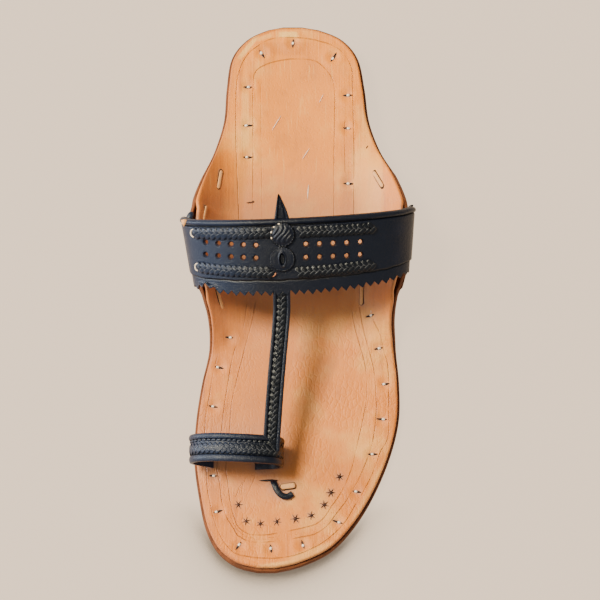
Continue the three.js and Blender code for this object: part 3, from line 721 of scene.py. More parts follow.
@dataclass(frozen=True)
class TanLeather:
    """Undyed leather of the insole: mottled, grooved and creased, with painted shade where it is shut in, and
    patches that are partly wear and partly painted light and shade.
    """

    heel: Colour = srgb(243, 138, 20)
    forefoot: Colour = srgb(229, 127, 24)
    pale: Colour = srgb(252, 190, 98)
    # shade: the colour of painted shade, mixed in where the insole is shut in under the band, the strap and
    # the ring
    shade: Colour = srgb(184, 128, 98)
    dark: Colour = srgb(140, 68, 26)
    line: Colour = srgb(118, 56, 20)
    roughness: float = 0.55
    groove_half_width: float = 0.36
    painted_shade_reach: float = 0.07

    def material(self) -> bpy.types.Material:
        """Returns: the insole's material."""
        g = Graph("tan_leather_face")
        edge, toe, worn, ear = (g.attribute(name) for name in ("edge_mm", "toe", "worn", "ear"))
        mottle = g.noise(g.place(), 34, 4, 0.6)
        blot = g.noise(g.place(), 110, 4, 0.65)
        fine = g.noise(g.place(), 900, 3, 0.6)
        streak = g.noise(g.place((430, 22, 60)), 1.0, 3, 0.6, 0.4)
        scrape = g.noise(g.place((900, 60, 60), 28), 1.0, 2, 0.5, 0.2)
        side = edge.eased(22.0, 8.0)
        crinkle = g.cells(g.place((1.0, 0.55, 1.0), 24), 420, "DISTANCE_TO_EDGE").eased(0.0, 0.2)
        fold = g.noise(g.place((260, 55, 90), 14), 1.0, 3, 0.55, 1.2)
        pores = g.cells(g.place(), 700).eased(0.0, 0.4)
        broken = g.noise(g.place(), 90, 3, 0.6).eased(0.3, 0.6)
        groove = g.attribute("line_mm").line(0.0, self.groove_half_width) * g.attribute("press") * broken
        colour = g.mix(self.heel, self.forefoot, toe)
        colour = g.mix(colour, self.pale, mottle.eased(0.48, 0.74) * 0.5)
        colour = g.mix(colour, self.dark, mottle.eased(0.5, 0.22) * 0.26)
        colour = g.mix(colour, self.dark, blot.eased(0.52, 0.78) * 0.2)
        colour = g.mix(colour, self.dark, streak.eased(0.52, 0.76) * (side * 0.2 + 0.14))
        colour = g.mix(colour, self.pale, scrape.eased(0.6, 0.74) * (1.0 - toe) * 0.35)
        colour = g.mix(colour, self.dark, fold.eased(0.54, 0.7) * ear * 0.3)
        specks = g.noise(g.place(), 240, 5, 0.75).eased(0.62, 0.76)
        colour = g.mix(colour, self.dark, specks * 0.32)
        # pale and dark patches: partly wear and soiling, partly painted light on the lateral ear, painted
        # shade on the medial ear and the strap's painted shadow
        colour = g.mix(colour, self.pale, worn.eased(0.0, 1.0) * 0.85)
        colour = g.mix(colour, self.dark, worn.eased(0.0, -1.0) * 0.7)
        colour = g.mix(colour, self.dark, edge.line(0.0, 0.9) * 0.35)
        colour = g.mix(colour, self.line, groove * 0.5)
        # painted shade: the colour turns to the shade colour where ambient occlusion finds the insole shut in
        colour = g.mix(self.shade, colour, g.openness(self.painted_shade_reach).eased(0.4, 0.96))
        normal = g.bump(1.0 - groove, 0.0006, 0.8)
        normal = g.bump(streak * side + mottle * 0.7 + fold * (ear + toe * 0.35), 0.0007, 0.34, normal)
        patchy = g.noise(g.place(), 46, 2, 0.5).eased(0.4, 0.62)
        normal = g.bump(crinkle * (toe * 0.5 + 0.1) * patchy + pores * 0.4 + fine * 0.5, 0.00026, 0.6, normal)
        rough = self.roughness + (fine - 0.5) * 0.2 + (mottle - 0.5) * 0.2
        return g.finish(colour, rough, normal, Specular_IOR_Level=0.45)


@dataclass(frozen=True)
class EdgeLeather:
    """Cut edges and flesh side: fibrous, darker and matt."""

    name: str = "edge_leather_face"
    face: Colour = srgb(122, 68, 36)
    dark: Colour = srgb(54, 28, 14)
    roughness: float = 0.8

    def material(self) -> bpy.types.Material:
        """Returns: the edge material."""
        g = Graph(self.name)
        layers = g.noise(g.place((60, 60, 1400)), 1.0, 3, 0.6, 0.3)
        fibre = g.noise(g.place(), 520, 5, 0.7)
        colour = g.mix(self.face, self.dark, layers.eased(0.4, 0.72) * 0.6)
        colour = g.mix(colour, self.dark, fibre.eased(0.5, 0.75) * 0.5)
        normal = g.bump(layers + fibre, 0.0004, 0.4)
        return g.finish(colour, self.roughness, normal, Specular_IOR_Level=0.25)


@dataclass(frozen=True)
class NavyLeather:
    """Dyed strap leather with a low sheen, paler where it is rubbed, with a painted sheen towards -X, pale
    rims that are partly raw cut edge and partly painted highlight, and dark grooves that are painted shade in
    punch walls and boss hollows.
    """

    name: str = "navy_leather_face"
    face: Colour = srgb(6, 10, 24)
    rubbed: Colour = srgb(18, 27, 50)
    # painted sheen: a paler bluish colour towards -X, standing in for a lamp's reflection
    painted_sheen: Colour = srgb(34, 43, 64)
    # raw: the pale colour of the rims, partly raw cut edge and partly painted highlight
    raw: Colour = srgb(112, 112, 114)
    roughness: float = 0.4
    rim_raw_and_highlight_share: float = 0.0

    def material(self) -> bpy.types.Material:
        """Returns: the strap material."""
        g = Graph(self.name)
        grain = g.cells(g.place(), 900, "DISTANCE_TO_EDGE").eased(0.0, 0.2)
        cloud = g.noise(g.place(), 70, 4, 0.6)
        fine = g.noise(g.place(), 1400, 3, 0.6)
        colour = g.mix(self.face, self.rubbed, cloud.eased(0.5, 0.85) * 0.35)
        # painted sheen: paler the further the surface lies towards -X
        colour = g.mix(colour, self.painted_sheen, g.axis("X").eased(-0.014, -0.042) * 0.7)
        normal = g.bump(grain * 0.5 + fine + cloud * 0.6, 0.0002, 0.5)
        # pale rims: partly raw cut edge, partly painted highlight along the raised edges of strands and beads
        if self.rim_raw_and_highlight_share:
            rim = g.attribute("rim") * g.noise(g.place(), 150, 2, 0.5).eased(0.34, 0.5)
            colour = g.mix(colour, self.raw, rim * self.rim_raw_and_highlight_share)
        else:
            # grooves darkened: seam lines on the band and straps, and painted shade where punch walls and
            # boss hollows are marked as groove
            groove = g.attribute("groove")
            colour = g.mix(colour, tuple(c * 0.15 for c in self.face), groove * 0.9)
            normal = g.bump(1.0 - groove, 0.0006, 0.6, normal)
        rough = self.roughness + (cloud - 0.5) * 0.25 + (fine - 0.5) * 0.15
        return g.finish(colour, rough, normal, Specular_IOR_Level=0.32, Coat_Weight=0.03, Coat_Roughness=0.3)


@dataclass(frozen=True)
class PlainFinish:
    """A small thing's even finish: a lace, a slit's shade, thread or a peg."""

    name: str
    face: Colour
    roughness: float = 0.7

    def material(self) -> bpy.types.Material:
        """Returns: the material."""
        g = Graph(self.name)
        fibre = g.noise(g.place(), 900, 3, 0.6)
        colour = g.mix(self.face, tuple(c * 0.7 for c in self.face), fibre.eased(0.4, 0.8) * 0.6)
        return g.finish(colour, self.roughness, g.bump(fibre, 0.0002, 0.4))


class Finishes:
    """Every material the sandal uses, made once."""

    def __init__(self) -> None:
        """Makes them all."""
        self.tan = TanLeather().material()
        self.edge = EdgeLeather().material()
        self.navy = NavyLeather().material()
        # strands and beads: their pale rims are partly raw cut edge and partly painted highlight
        self.strand = NavyLeather("navy_strand", srgb(4, 6, 12), roughness=0.35, rim_raw_and_highlight_share=0.72).material()
        self.rubbed_strand = NavyLeather(
            "navy_rubbed_strand", srgb(6, 8, 14), srgb(24, 28, 38), roughness=0.34, rim_raw_and_highlight_share=0.6
        ).material()
        self.bead = NavyLeather(
            "navy_bead", srgb(7, 9, 16), raw=srgb(128, 128, 134), roughness=0.3, rim_raw_and_highlight_share=0.7
        ).material()
        self.lace = PlainFinish("lace_leather", srgb(250, 232, 208)).material()
        self.tan_lace = PlainFinish("tan_lace_leather", srgb(232, 166, 104)).material()
        self.thread = PlainFinish("raw_lace_end", srgb(240, 216, 186)).material()
        self.copper = PlainFinish("copper_lace_end", srgb(214, 138, 98)).material()
        self.slit = PlainFinish("slit_shade", srgb(34, 17, 9), 0.9).material()
        self.mark = PlainFinish("stamped_mark", srgb(70, 36, 18), 0.8).material()
        self.scuff = PlainFinish("pale_scuff", srgb(244, 220, 192)).material()


class UnitTree(NodeTree):
    """A geometry node tree that sets one unit object on every point of a mesh.

    Each point carries the vectors along and up, which turn the unit's X and Z, and the vector size, which
    scales it.
    """

    def __init__(self, spread: float = 0.08) -> None:
        """Args: spread, how much the units' sizes vary."""
        self.tree = bpy.data.node_groups.new("units_on_points", "GeometryNodeTree")
        face = self.tree.interface
        face.new_socket("Points", in_out="INPUT", socket_type="NodeSocketGeometry")
        self.unit = self._input(face, "Unit", "Object")
        self.material = self._input(face, "Material", "Material")
        self.seed = self._input(face, "Seed", "Int")
        face.new_socket("Units", in_out="OUTPUT", socket_type="NodeSocketGeometry")
        given, out = self.node("NodeGroupInput"), self.node("NodeGroupOutput")
        up, along, size = (
            self.node("GeometryNodeInputNamedAttribute", {"Name": name}, data_type="FLOAT_VECTOR")
            for name in ("up", "along", "size")
        )
        axes = {"Primary Axis": up.outputs[0], "Secondary Axis": along.outputs[0]}
        turn = self.node("FunctionNodeAxesToRotation", axes)
        turn.primary_axis, turn.secondary_axis = "Z", "X"
        vary = self.node("FunctionNodeRandomValue", data_type="FLOAT")
        for socket in vary.inputs:
            if socket.name == "Seed":
                self.tree.links.new(given.outputs["Seed"], socket)
            if socket.name in ("Min", "Max") and socket.type == "VALUE":
                socket.default_value = 1 - spread if socket.name == "Min" else 1 + spread
        varied = [s for s in vary.outputs if s.type == "VALUE"][0]
        scale = self.node("ShaderNodeVectorMath", {0: size.outputs[0], "Scale": varied}, operation="SCALE")
        info = self.node("GeometryNodeObjectInfo", {"Object": given.outputs["Unit"]})
        inputs = {"Points": given.outputs["Points"], "Instance": info.outputs["Geometry"]}
        inputs.update({"Rotation": turn.outputs[0], "Scale": scale.outputs["Vector"]})
        placed = self.node("GeometryNodeInstanceOnPoints", inputs)
        real = self.node("GeometryNodeRealizeInstances", {"Geometry": placed.outputs["Instances"]})
        inputs = {"Geometry": real.outputs[0], "Material": given.outputs["Material"]}
        made = self.node("GeometryNodeSetMaterial", inputs)
        self.tree.links.new(made.outputs[0], out.inputs["Units"])

    @staticmethod
    def _input(face: bpy.types.NodeTreeInterface, name: str, kind: str) -> str:
        """Args: face, the tree's interface; name; kind of value. Returns: the new input's identifier."""
        return face.new_socket(name, in_out="INPUT", socket_type=f"NodeSocket{kind}").identifier


@dataclass
class Setting:
    """Where units go: points in millimetres with their directions and sizes."""

    points: list
    along: list
    up: list
    size: list

    @classmethod
    def empty(cls) -> "Setting":
        """Returns: a setting with nothing in it."""
        return cls([], [], [], [])

    def put(
        self,
        point: Array,
        along: Array,
        up: Array,
        size: tuple[float, float, float] = (1, 1, 1),
    ) -> None:
        """Args: point; along, the unit's X; up, its Z; size, its scale. Adds one unit."""
        self.points.append(np.asarray(point, float))
        self.along.append(np.asarray(along, float))
        self.up.append(np.asarray(up, float))
        self.size.append(size)


class Units:
    """Small repeated shapes, and the tree that sets them."""

    def __init__(self, maker: Maker, finishes: Finishes) -> None:
        """Args: maker; finishes."""
        self.maker = maker
        self.finishes = finishes
        self.tree = UnitTree()
        self.sources: dict[str, Solid] = {}

    def source(self, name: str, points: Array, faces: list, rim: Array | None = None) -> str:
        """Keeps a unit.

        Args: name; points, in millimetres about the origin; faces, lists of point numbers; rim, for each
            point, how pale its edge is painted: partly a raw cut edge, partly painted highlight.
        Returns: the name.
        """
        data = bpy.data.meshes.new(name)
        data.from_pydata((np.asarray(points) * MM).tolist(), [], faces)
        data.polygons.foreach_set("use_smooth", [True] * len(data.polygons))
        made = bpy.data.objects.new(name, data)
        bpy.context.scene.collection.objects.link(made)
        if rim is not None:
            self.maker.attribute(made, "rim", rim)
        self.maker.face_out(made)
        self.sources[name] = made
        return name

    def pod(
        self,
        name: str,
        length: float,
        width: float,
        height: float,
        rings: int = 9,
        around: int = 12,
        blunt: float = 3.0,
    ) -> str:
        """Makes a rounded rod unit.

        Args: name; length, width, height, its sizes; rings, around, how finely it is divided; blunt, how
            square its ends are.
        Returns: the name.
        """
        t = np.linspace(-1, 1, rings)
        thick = (1 - np.abs(t) ** blunt) ** 0.5
        thick[[0, -1]] = 0.12
        a = np.linspace(0, 2 * math.pi, around, endpoint=False)
        y = np.outer(thick, np.sign(np.cos(a)) * np.abs(np.cos(a)) ** 0.8) * width / 2
        z = np.outer(thick, np.sign(np.sin(a)) * np.abs(np.sin(a)) ** 0.8) * height / 2
        x = np.repeat((t * length / 2)[:, None], around, axis=1)
        points = np.stack([x, y, z], axis=-1).reshape(-1, 3)
        # one side of each rod is marked for a pale rim: partly raw edge, partly painted highlight
        rim = smooth(points[:, 1] / width, 0.3, 0.46)
        return self.source(name, points, tube_faces(rings, around), rim)

    def ribbon(self, name: str, length: float, width: float, height: float, side: int, rings: int = 9) -> str:
        """Makes a flat, arched strand unit with one raised edge.

        Args: name; length, width, height, its sizes; side, 1 or -1, where its raised edge is; rings, how
            finely it is divided.
        Returns: the name.
        """
        t = np.linspace(-1, 1, rings)
        y = np.array([-0.5, -0.44, -0.2, 0.1, 0.38, 0.45, 0.5, 0.5, 0.0, -0.5]) * width * side
        z = np.array([0.25, 0.55, 0.7, 0.8, 0.95, 1.0, 0.75, 0.0, -0.15, 0.0]) * height
        # the raised edge is marked for a pale rim: partly raw cut edge, partly painted highlight
        edge = np.array([0, 0, 0, 0, 0.1, 1, 0.5, 0, 0, 0])
        taper = np.clip((1 - np.abs(t) ** 5) ** 0.5, 0.25, 1)
        arch = (1 - t**2) * 0.35 * height
        n = len(y)
        x = np.repeat((t * length / 2)[:, None], n, 1)
        points = np.stack([x, np.outer(taper, y), z[None] * taper[:, None] + arch[:, None]], -1)
        return self.source(name, points.reshape(-1, 3), tube_faces(rings, n), np.tile(edge, rings))

    def ray_star(self, name: str, rays: int, radius: float, waist: float, depth: float) -> str:
        """Makes a flat star unit.

        Args: name; rays, how many; radius, of its tips; waist, the inner radius as a share of that; depth,
            its thickness.
        Returns: the name.
        """
        a = np.arange(2 * rays) * math.pi / rays
        r = np.where(np.arange(2 * rays) % 2, radius * waist, radius)
        ring = np.stack([r * np.cos(a), r * np.sin(a), np.zeros(2 * rays)], axis=-1)
        points = np.vstack([ring, ring - (0, 0, depth)])
        return self.source(name, points, tube_faces(2, 2 * rays))

    def arc(
        self, name: str, radius: float, tube: float, degrees: float, steps: int = 14, around: int = 8
    ) -> str:
        """Makes a bent rod unit, open to +X.

        Args: name; radius, of the bend; tube, the rod's own radius; degrees, how far round it goes; steps,
            around, how finely it is divided.
        Returns: the name.
        """
        a = math.pi + np.radians(np.linspace(-degrees / 2, degrees / 2, steps))
        b = np.linspace(0, 2 * math.pi, around, endpoint=False)
        r = radius + tube * np.cos(b)[None, :]
        z = np.repeat(tube * np.sin(b)[None], steps, axis=0)
        points = np.stack([np.cos(a)[:, None] * r, np.sin(a)[:, None] * r, z], axis=-1)
        return self.source(name, points.reshape(-1, 3), tube_faces(steps, around))

    def set_out(
        self,
        name: str,
        unit_name: str,
        setting: Setting,
        material: bpy.types.Material,
        slot: Slot,
        seed: int = 1,
        nodes: tuple = (),
    ) -> Solid:
        """Sets a unit on every point of a setting.

        Args: name, the new object's; unit_name, which unit; setting, where; material, its finish; slot, its
            slot in the record; seed, of the sizes' small differences; nodes, CAD nodes it stands for.
        Returns: the object with all the units.
        """
        made = self.maker.mesh(name, np.array(setting.points), [], None)
        for key, values in (("along", setting.along), ("up", setting.up), ("size", setting.size)):
            self.maker.attribute(made, key, np.array(values, float))
        modifier = made.modifiers.new("units", "NODES")
        modifier.node_group = self.tree.tree
        modifier[self.tree.unit] = self.sources[unit_name]
        modifier[self.tree.material] = material
        modifier[self.tree.seed] = seed
        self.maker.settle(made)
        if not made.data.materials:
            made.data.materials.append(material)
        return self.maker.hand_in(made, slot, *nodes)

    def clear(self) -> None:
        """Removes the unit objects once everything is set out."""
        for made in self.sources.values():
            bpy.data.objects.remove(made, do_unlink=True)


# Lace stitches through the plies: x, y and the slit's turn in degrees from across the foot.
STITCHES = [
    (-3.6, 131.3, 84), (-19.6, 125.2, 122), (17.3, 123.4, 58), (-26.9, 107.0, 0), (24.5, 102.6, 2),
    (-26.8, 86.7, 4), (24.0, 85.3, -8), (-26.8, 70.2, 2), (24.9, 56.6, -3), (-36.0, -22.0, -4),
    (-41.0, -36.9, -12), (-44.0, -57.0, -10), (-43.7, -92.6, 0), (-41.0, -110.8, 16), (-30.5, -128.6, 56),
    (-14.5, -130.2, 98), (1.4, -128.1, 108), (18.7, -116.5, -18), (28.4, -101.0, -10), (36.5, -81.8, 0),
    (41.3, -63.8, -4), (43.2, -45.6, 6), (39.9, -27.4, 12), (35.6, -11.4, 14),
]
# Stars stamped round the toe: the middle of each.
STARS = [
    (-30.8, -107.4), (-26.8, -115.9), (-19.7, -117.2), (-11.5, -116.2), (-2.3, -114.7), (5.5, -113.1),
    (12.1, -107.6), (15.4, -101.4), (19.8, -93.3),
]
# Lines pressed into the insole: x and y along each, and how strongly it is pressed.
PRESSED_LINES = [
    (0.9, [
        (-31.2, 35.1), (-31.9, 52.5), (-32.8, 72.2), (-33.4, 92.3), (-33.2, 101.3), (-33.0, 108.7),
        (-32.0, 113.9), (-30.0, 119.8), (-26.4, 125.6), (-22.4, 128.8), (-17.3, 132.2), (-11.2, 133.8),
        (-3.0, 133.9), (4.6, 133.3), (11.2, 131.7), (17.3, 129.6), (22.4, 125.9), (25.4, 121.4),
        (27.2, 116.6), (27.4, 110.8), (27.6, 102.9), (27.8, 92.3), (28.0, 79.2), (27.7, 43.7), (27.6, 35.1),
    ]),
    (0.8, [
        (-24.4, 35.1), (-24.2, 74.0), (-24.4, 95.0), (-24.2, 109.7), (-23.6, 113.9), (-21.8, 116.6),
        (-17.3, 119.2), (-11.2, 121.1), (-5.1, 122.1), (2.0, 122.1), (8.1, 121.1), (12.7, 117.6),
        (15.7, 113.9), (17.5, 109.7), (18.2, 102.3), (18.1, 89.7), (17.7, 74.0), (17.5, 35.1),
    ]),
    (0.3, [(-20.3, 108.3), (-19.9, 74.0), (-19.3, 35.1)]),
    (0.5, [(23.3, 88.0), (23.2, 78.5), (23.3, 62.7)]),
    (0.9, [
        (-42.2, -31.4), (-44.7, -41.9), (-46.2, -51.7), (-47.8, -61.5), (-48.3, -70.5), (-47.4, -89.8),
        (-46.8, -98.8), (-45.4, -106.5), (-43.4, -114.3), (-40.8, -121.4), (-36.9, -127.9), (-31.8, -132.4),
        (-24.8, -134.0), (-14.1, -134.8), (-2.7, -133.3), (4.9, -130.4), (11.8, -126.6), (18.2, -121.4),
        (23.3, -115.6), (27.2, -109.1), (31.0, -102.7), (34.9, -95.6), (38.1, -88.5), (40.8, -80.7),
        (44.6, -73.8), (45.3, -61.5), (45.4, -48.4), (44.9, -35.4), (43.0, -28.8), (41.1, -20.9),
        (37.9, -14.3),
    ]),
    (0.9, [
        (-27.5, -5.7), (-28.7, -15.6), (-31.3, -22.2), (-34.5, -32.1), (-36.6, -44.5), (-38.5, -56.9),
        (-40.0, -70.5), (-42.1, -87.8), (-40.4, -97.5), (-39.4, -105.3), (-37.1, -113.0), (-33.2, -119.5),
        (-31.3, -122.7), (-25.5, -125.9), (-18.6, -126.4), (-10.3, -125.9), (-1.5, -124.3), (8.0, -122.1),
        (13.8, -118.2), (18.2, -112.4), (24.0, -104.6), (29.2, -95.6), (33.0, -87.2), (36.3, -78.1),
        (38.9, -61.5), (38.7, -48.4), (37.8, -38.0), (35.6, -28.8), (32.7, -18.3), (30.5, -6.4),
    ]),
    (0.8, [
        (-22.9, -3.7), (-24.8, -14.3), (-27.4, -24.2), (-29.9, -34.0), (-32.5, -44.5), (-35.0, -56.9),
        (-35.8, -70.5), (-37.6, -87.8), (-36.3, -96.9), (-35.2, -105.3), (-33.3, -113.0), (-30.7, -118.8),
        (-25.6, -122.1), (-16.7, -122.6), (-7.8, -121.1), (1.7, -119.1), (8.1, -117.2), (11.9, -114.3),
        (16.3, -107.8), (21.5, -100.1), (26.6, -87.8), (28.6, -79.4), (33.8, -54.9), (34.2, -45.2),
        (33.3, -35.4), (30.7, -25.5), (28.5, -17.6), (26.9, -9.0),
    ]),
    (0.45, [(-22.9, -89.4), (-25.7, -92.2), (-28.3, -96.1), (-29.4, -100.5)]),
    (0.4, [(-23.5, -90.5), (-27.3, -93.8), (-30.5, -98.3), (-32.1, -102.7)]),
    (0.4, [(-21.9, -90.5), (-22.9, -93.8), (-24.5, -97.2), (-26.2, -101.6)]),
]
# Rubbed or soiled places on the insole, and painted light and shade: the dark patch at (-44, 55) on the
# medial ear is painted shade, the pale patches at (31.5, 55) and (38, 52) on the lateral ear are painted
# light, and the dark patch at (8, -47) beside the strap is its painted shadow. Each has a middle, half sizes,
# turn in degrees and strength, which is below 0 where they are darker.
WEAR_AND_LIGHT_PATCHES = [
    (-6.2, 135.6, 5.2, 1.7, 0, 1.0), (-27.0, 128.6, 8.5, 1.3, 52, 0.75), (-18.5, 134.0, 5.0, 1.2, 20, 0.5),
    (-28.5, 92.0, 2.2, 22.0, 0, 0.45), (-30.0, 60.0, 3.0, 16.0, 0, 0.3), (31.5, 55.0, 6.0, 24.0, 0, 0.4),
    (-8.0, 128.0, 16.0, 4.0, 0, -0.35), (24.0, 60.0, 3.0, 26.0, 0, -0.3), (-43.0, -98.0, 3.0, 30.0, 0, -0.3),
    (6.0, -132.0, 14.0, 2.6, 20, 0.45), (-2.0, -137.0, 22.0, 1.8, 8, 0.6),
    (36.0, -100.0, 2.0, 24.0, -28, 0.4), (8.0, -47.0, 6.0, 20.0, -26, -0.45),
    (-42.0, -16.0, 5.0, 12.0, 0, -0.5), (-44.0, 55.0, 6.0, 24.0, 0, -0.6), (38.0, 52.0, 5.0, 22.0, 0, 0.5),
]
# Small nicks: middle, turn in degrees, length and width, which is below 0 for a pale scratch.
SCARS = [
    (-25.3, 47.0, 4, 4.2, 0.9), (-23.9, 47.4, 20, 1.6, 1.3), (34.2, 75.1, 60, 2.6, 0.8),
    (44.0, 46.0, 70, 2.2, 0.9), (-31.2, -3.7, 12, 4.6, 0.6), (-29.6, -4.4, -30, 2.6, 0.5),
    (4.1, 52.5, 86, 8.0, -0.5), (-12.0, 88.0, 60, 9.0, -0.35), (3.0, 72.0, 58, 7.0, -0.35),
    (11.0, 101.0, 64, 6.0, -0.3), (36.0, -8.0, 80, 5.0, -0.5),
]
# Laces that show on the ears: x and y of both ends.
EAR_LACES = [
    (-40.1, 62.0, -41.6, 52.2), (-47.6, 41.5, -48.4, 33.0), (37.6, 61.6, 42.0, 53.0),
    (-42.2, -0.6, -39.0, -9.0), (31.6, 3.6, 31.4, -6.0),
]


class Plies:
    """The insole, the outsole and the heel's lifts."""

    ROWS = 300
    COLUMNS = 108
    # share of a ply's edge radius that its edge is drawn in, and how deep, halfway round the rounding
    HALFWAY = 0.29
    # dents round a stitch: depth, how far from it and reach
    STITCH_DENTS = ((0.55, 0.0, 2.2), (-0.22, 4.5, 1.8))
    STAR_DENT = (0.2, 3.0)
    # the dishes worn by the ball of the foot and the heel: depth, middle and reach in x and y
    DISHES = ((1.1, 6.0, -60.0, 24.0, 46.0), (0.8, -2.0, 95.0, 20.0, 34.0))
    BUCKLE = 0.35
    AT_ONCE = 4000

    def __init__(self, maker: Maker, sole: SoleForm, finishes: Finishes) -> None:
        """Args: maker; sole; finishes."""
        self.maker = maker
        self.sole = sole
        self.finishes = finishes

    def _grid(self, finer: bool = False) -> tuple[Array, Array]:
        """Args: finer, as the insole needs. Returns: grids of places across and stations along."""
        rows, columns = (self.ROWS, self.COLUMNS) if finer else (self.ROWS // 2, self.COLUMNS // 2)
        even = np.linspace(0, 1, rows)
        station = self.sole.station_at(0.75 * even + 0.25 * (0.5 - 0.5 * np.cos(math.pi * even)))
        u = np.linspace(-1, 1, columns)
        across = 0.7 * u + 0.3 * np.sin(u * math.pi / 2)
        return np.meshgrid(across, station)

    def _slab(
        self,
        name: str,
        top: Array,
        bottom: Array,
        inset: Rule,
        radius: float,
        material: bpy.types.Material,
    ) -> Solid:
        """Makes a ply with rounded edges.

        Args: name; top, bottom, depths of its faces under the insole's plain top, on the grid; inset, how
            far its edge lies inside the outline; radius, of the edge's rounding; material, the finish.
        Returns: the ply.
        """
        across, station = self._grid(finer=top.shape[0] == self.ROWS)

        def layer(depth: Array, drawn_in: float) -> Array:
            """Args: depth; drawn_in, shares of the radius. Returns: that layer of points."""
            return self.sole.below(across, station, depth, lambda s: inset(s) + drawn_in * radius)

        between = (
            layer(top + self.HALFWAY * radius, self.HALFWAY),
            layer(top + radius, 0.0),
            layer(bottom - radius, 0.0),
            layer(bottom - self.HALFWAY * radius, self.HALFWAY),
        )
        return self.maker.slab(name, layer(top, 1.0), layer(bottom, 1.0), material, between)

    def insole(self) -> Solid:
        """Returns: the insole, dished a little at every stitch and star."""
        across, station = self._grid(finer=True)
        zero = np.zeros_like(across)
        top = self.sole.below(across, station, zero)
        flat = top[..., :2]
        dip = np.zeros_like(across)
        for x, y, _ in STITCHES:
            away = np.hypot(flat[..., 0] - x, flat[..., 1] - y)
            for depth, place, reach in self.STITCH_DENTS:
                dip += depth * np.exp(-(((away - place) / reach) ** 2))
        depth, reach = self.STAR_DENT
        for x, y in STARS:
            away = np.hypot(flat[..., 0] - x, flat[..., 1] - y)
            dip += depth * np.exp(-((away / reach) ** 2))
        dish = np.zeros_like(across)
        for depth, x, y, wide, long in self.DISHES:
            dish += depth * np.exp(-(((flat[..., 0] - x) / wide) ** 2) - ((flat[..., 1] - y) / long) ** 2)
        wave = np.sin(flat[..., 1] * 0.31 + 2 * np.sin(flat[..., 0] * 0.11))
        buckle = self.BUCKLE * wave * smooth(np.abs(across), 0.62, 0.9)
        dip += (dish + buckle * self.sole.ear(station)) * (1 - smooth(np.abs(across), 0.9, 1))
        depth = self.sole.insole_depth(across, station)
        made = self._slab("insole_leather", dip, depth, self.sole.insole_inset, 0.55, self.finishes.tan)
        self._mark(made, flat, station)
        return self.maker.hand_in(made, Slot.TAN, "insole")

    def _mark(self, made: Solid, flat: Array, station: Array) -> None:
        """Stores what the insole's finish reads.

        Args: made, the insole; flat, x and y of its grid; station, the grid's stations.
        """
        fine = np.linspace(0, 1, 240)
        inset = self.sole.insole_inset(fine)
        medial, lateral = (np.stack(self.sole.outline(side, fine, inset), axis=-1) for side in (-1, 1))
        ends = [np.linspace(medial[k], lateral[k], 12) for k in (0, -1)]
        edge = np.min([np.abs(self._distance(flat, route)) for route in (medial, lateral, *ends)], axis=0)
        line, press = np.full(edge.shape, 9.0), np.zeros(edge.shape)
        for strength, route in PRESSED_LINES:
            away = self._distance(flat, self._eased_route(route))
            nearer = np.abs(away) < np.abs(line)
            line = np.where(nearer, away, line)
            press = np.where(nearer, np.where(np.abs(away) < 1.5, strength, 0.0), press)
        # patches of wear, of painted light and shade on the ears, and of the strap's painted shadow
        worn = np.zeros(edge.shape)
        for x, y, half_x, half_y, turn, strength in WEAR_AND_LIGHT_PATCHES:
            c, d = math.cos(math.radians(turn)), math.sin(math.radians(turn))
            along = (flat[..., 0] - x) * c + (flat[..., 1] - y) * d
            over = (flat[..., 1] - y) * c - (flat[..., 0] - x) * d
            spot = np.exp(-((along / half_x) ** 6) - (over / half_y) ** 6)
            worn = np.where(np.abs(strength * spot) > np.abs(worn), strength * spot, worn)
        toe = smooth(-flat[..., 1], -15, 40)
        ear = self.sole.ear(station) * smooth(np.abs(flat[..., 0]), 24, 36)
        stored = {"edge_mm": edge, "line_mm": line, "press": press, "worn": worn, "toe": toe, "ear": ear}
        border = self.maker.rim(*edge.shape)
        for name, values in stored.items():
            every = values.ravel()
            self.maker.attribute(made, name, np.concatenate([every, every, *[every[border]] * 4]))

    @staticmethod
    def _eased_route(route: list) -> Array:
        """Args: route, x and y along a line. Returns: a smooth curve through them."""
        points = np.array(route)
        return Curve(np.column_stack([points, np.zeros(len(points))]), 12).samples[:, :2]

    @staticmethod
    def _distance(flat: Array, route: Array) -> Array:
        """Args: flat, a grid of x and y; route. Returns: signed distances to the route."""
        points = flat.reshape(-1, 1, 2)
        a, step = route[:-1], np.diff(route, axis=0)
        size = np.maximum((step**2).sum(axis=-1), 1e-9)
        result = np.empty(len(points))
        for start in range(0, len(points), Plies.AT_ONCE):
            p = points[start : start + Plies.AT_ONCE]
            t = np.clip(((p - a) * step).sum(axis=-1) / size, 0, 1)
            off = p - (a + t[..., None] * step)
            away = np.linalg.norm(off, axis=-1)
            nearest = away.argmin(axis=1)
            rows = np.arange(len(p))
            chosen, way = off[rows, nearest], step[nearest]
            sign = np.where(way[:, 0] * chosen[:, 1] - way[:, 1] * chosen[:, 0] < 0, -1.0, 1.0)
            result[start : start + Plies.AT_ONCE] = away[rows, nearest] * sign
        return result.reshape(flat.shape[:2])

    def outsole(self) -> Solid:
        """Returns: the outsole with its ears."""
        across, station = self._grid()
        top = self.sole.insole_depth(across, station) + self.sole.tuck_depth(across, station)
        skive = 1 - SOLE.ear_skive * self.sole.turned(across, station)
        bottom = top + SOLE.outsole * skive
        made = self._slab("outsole_leather", top, bottom, self.sole.outsole_inset, 0.6, self.finishes.edge)
        return self.maker.hand_in(made, Slot.EDGE, "outsole")

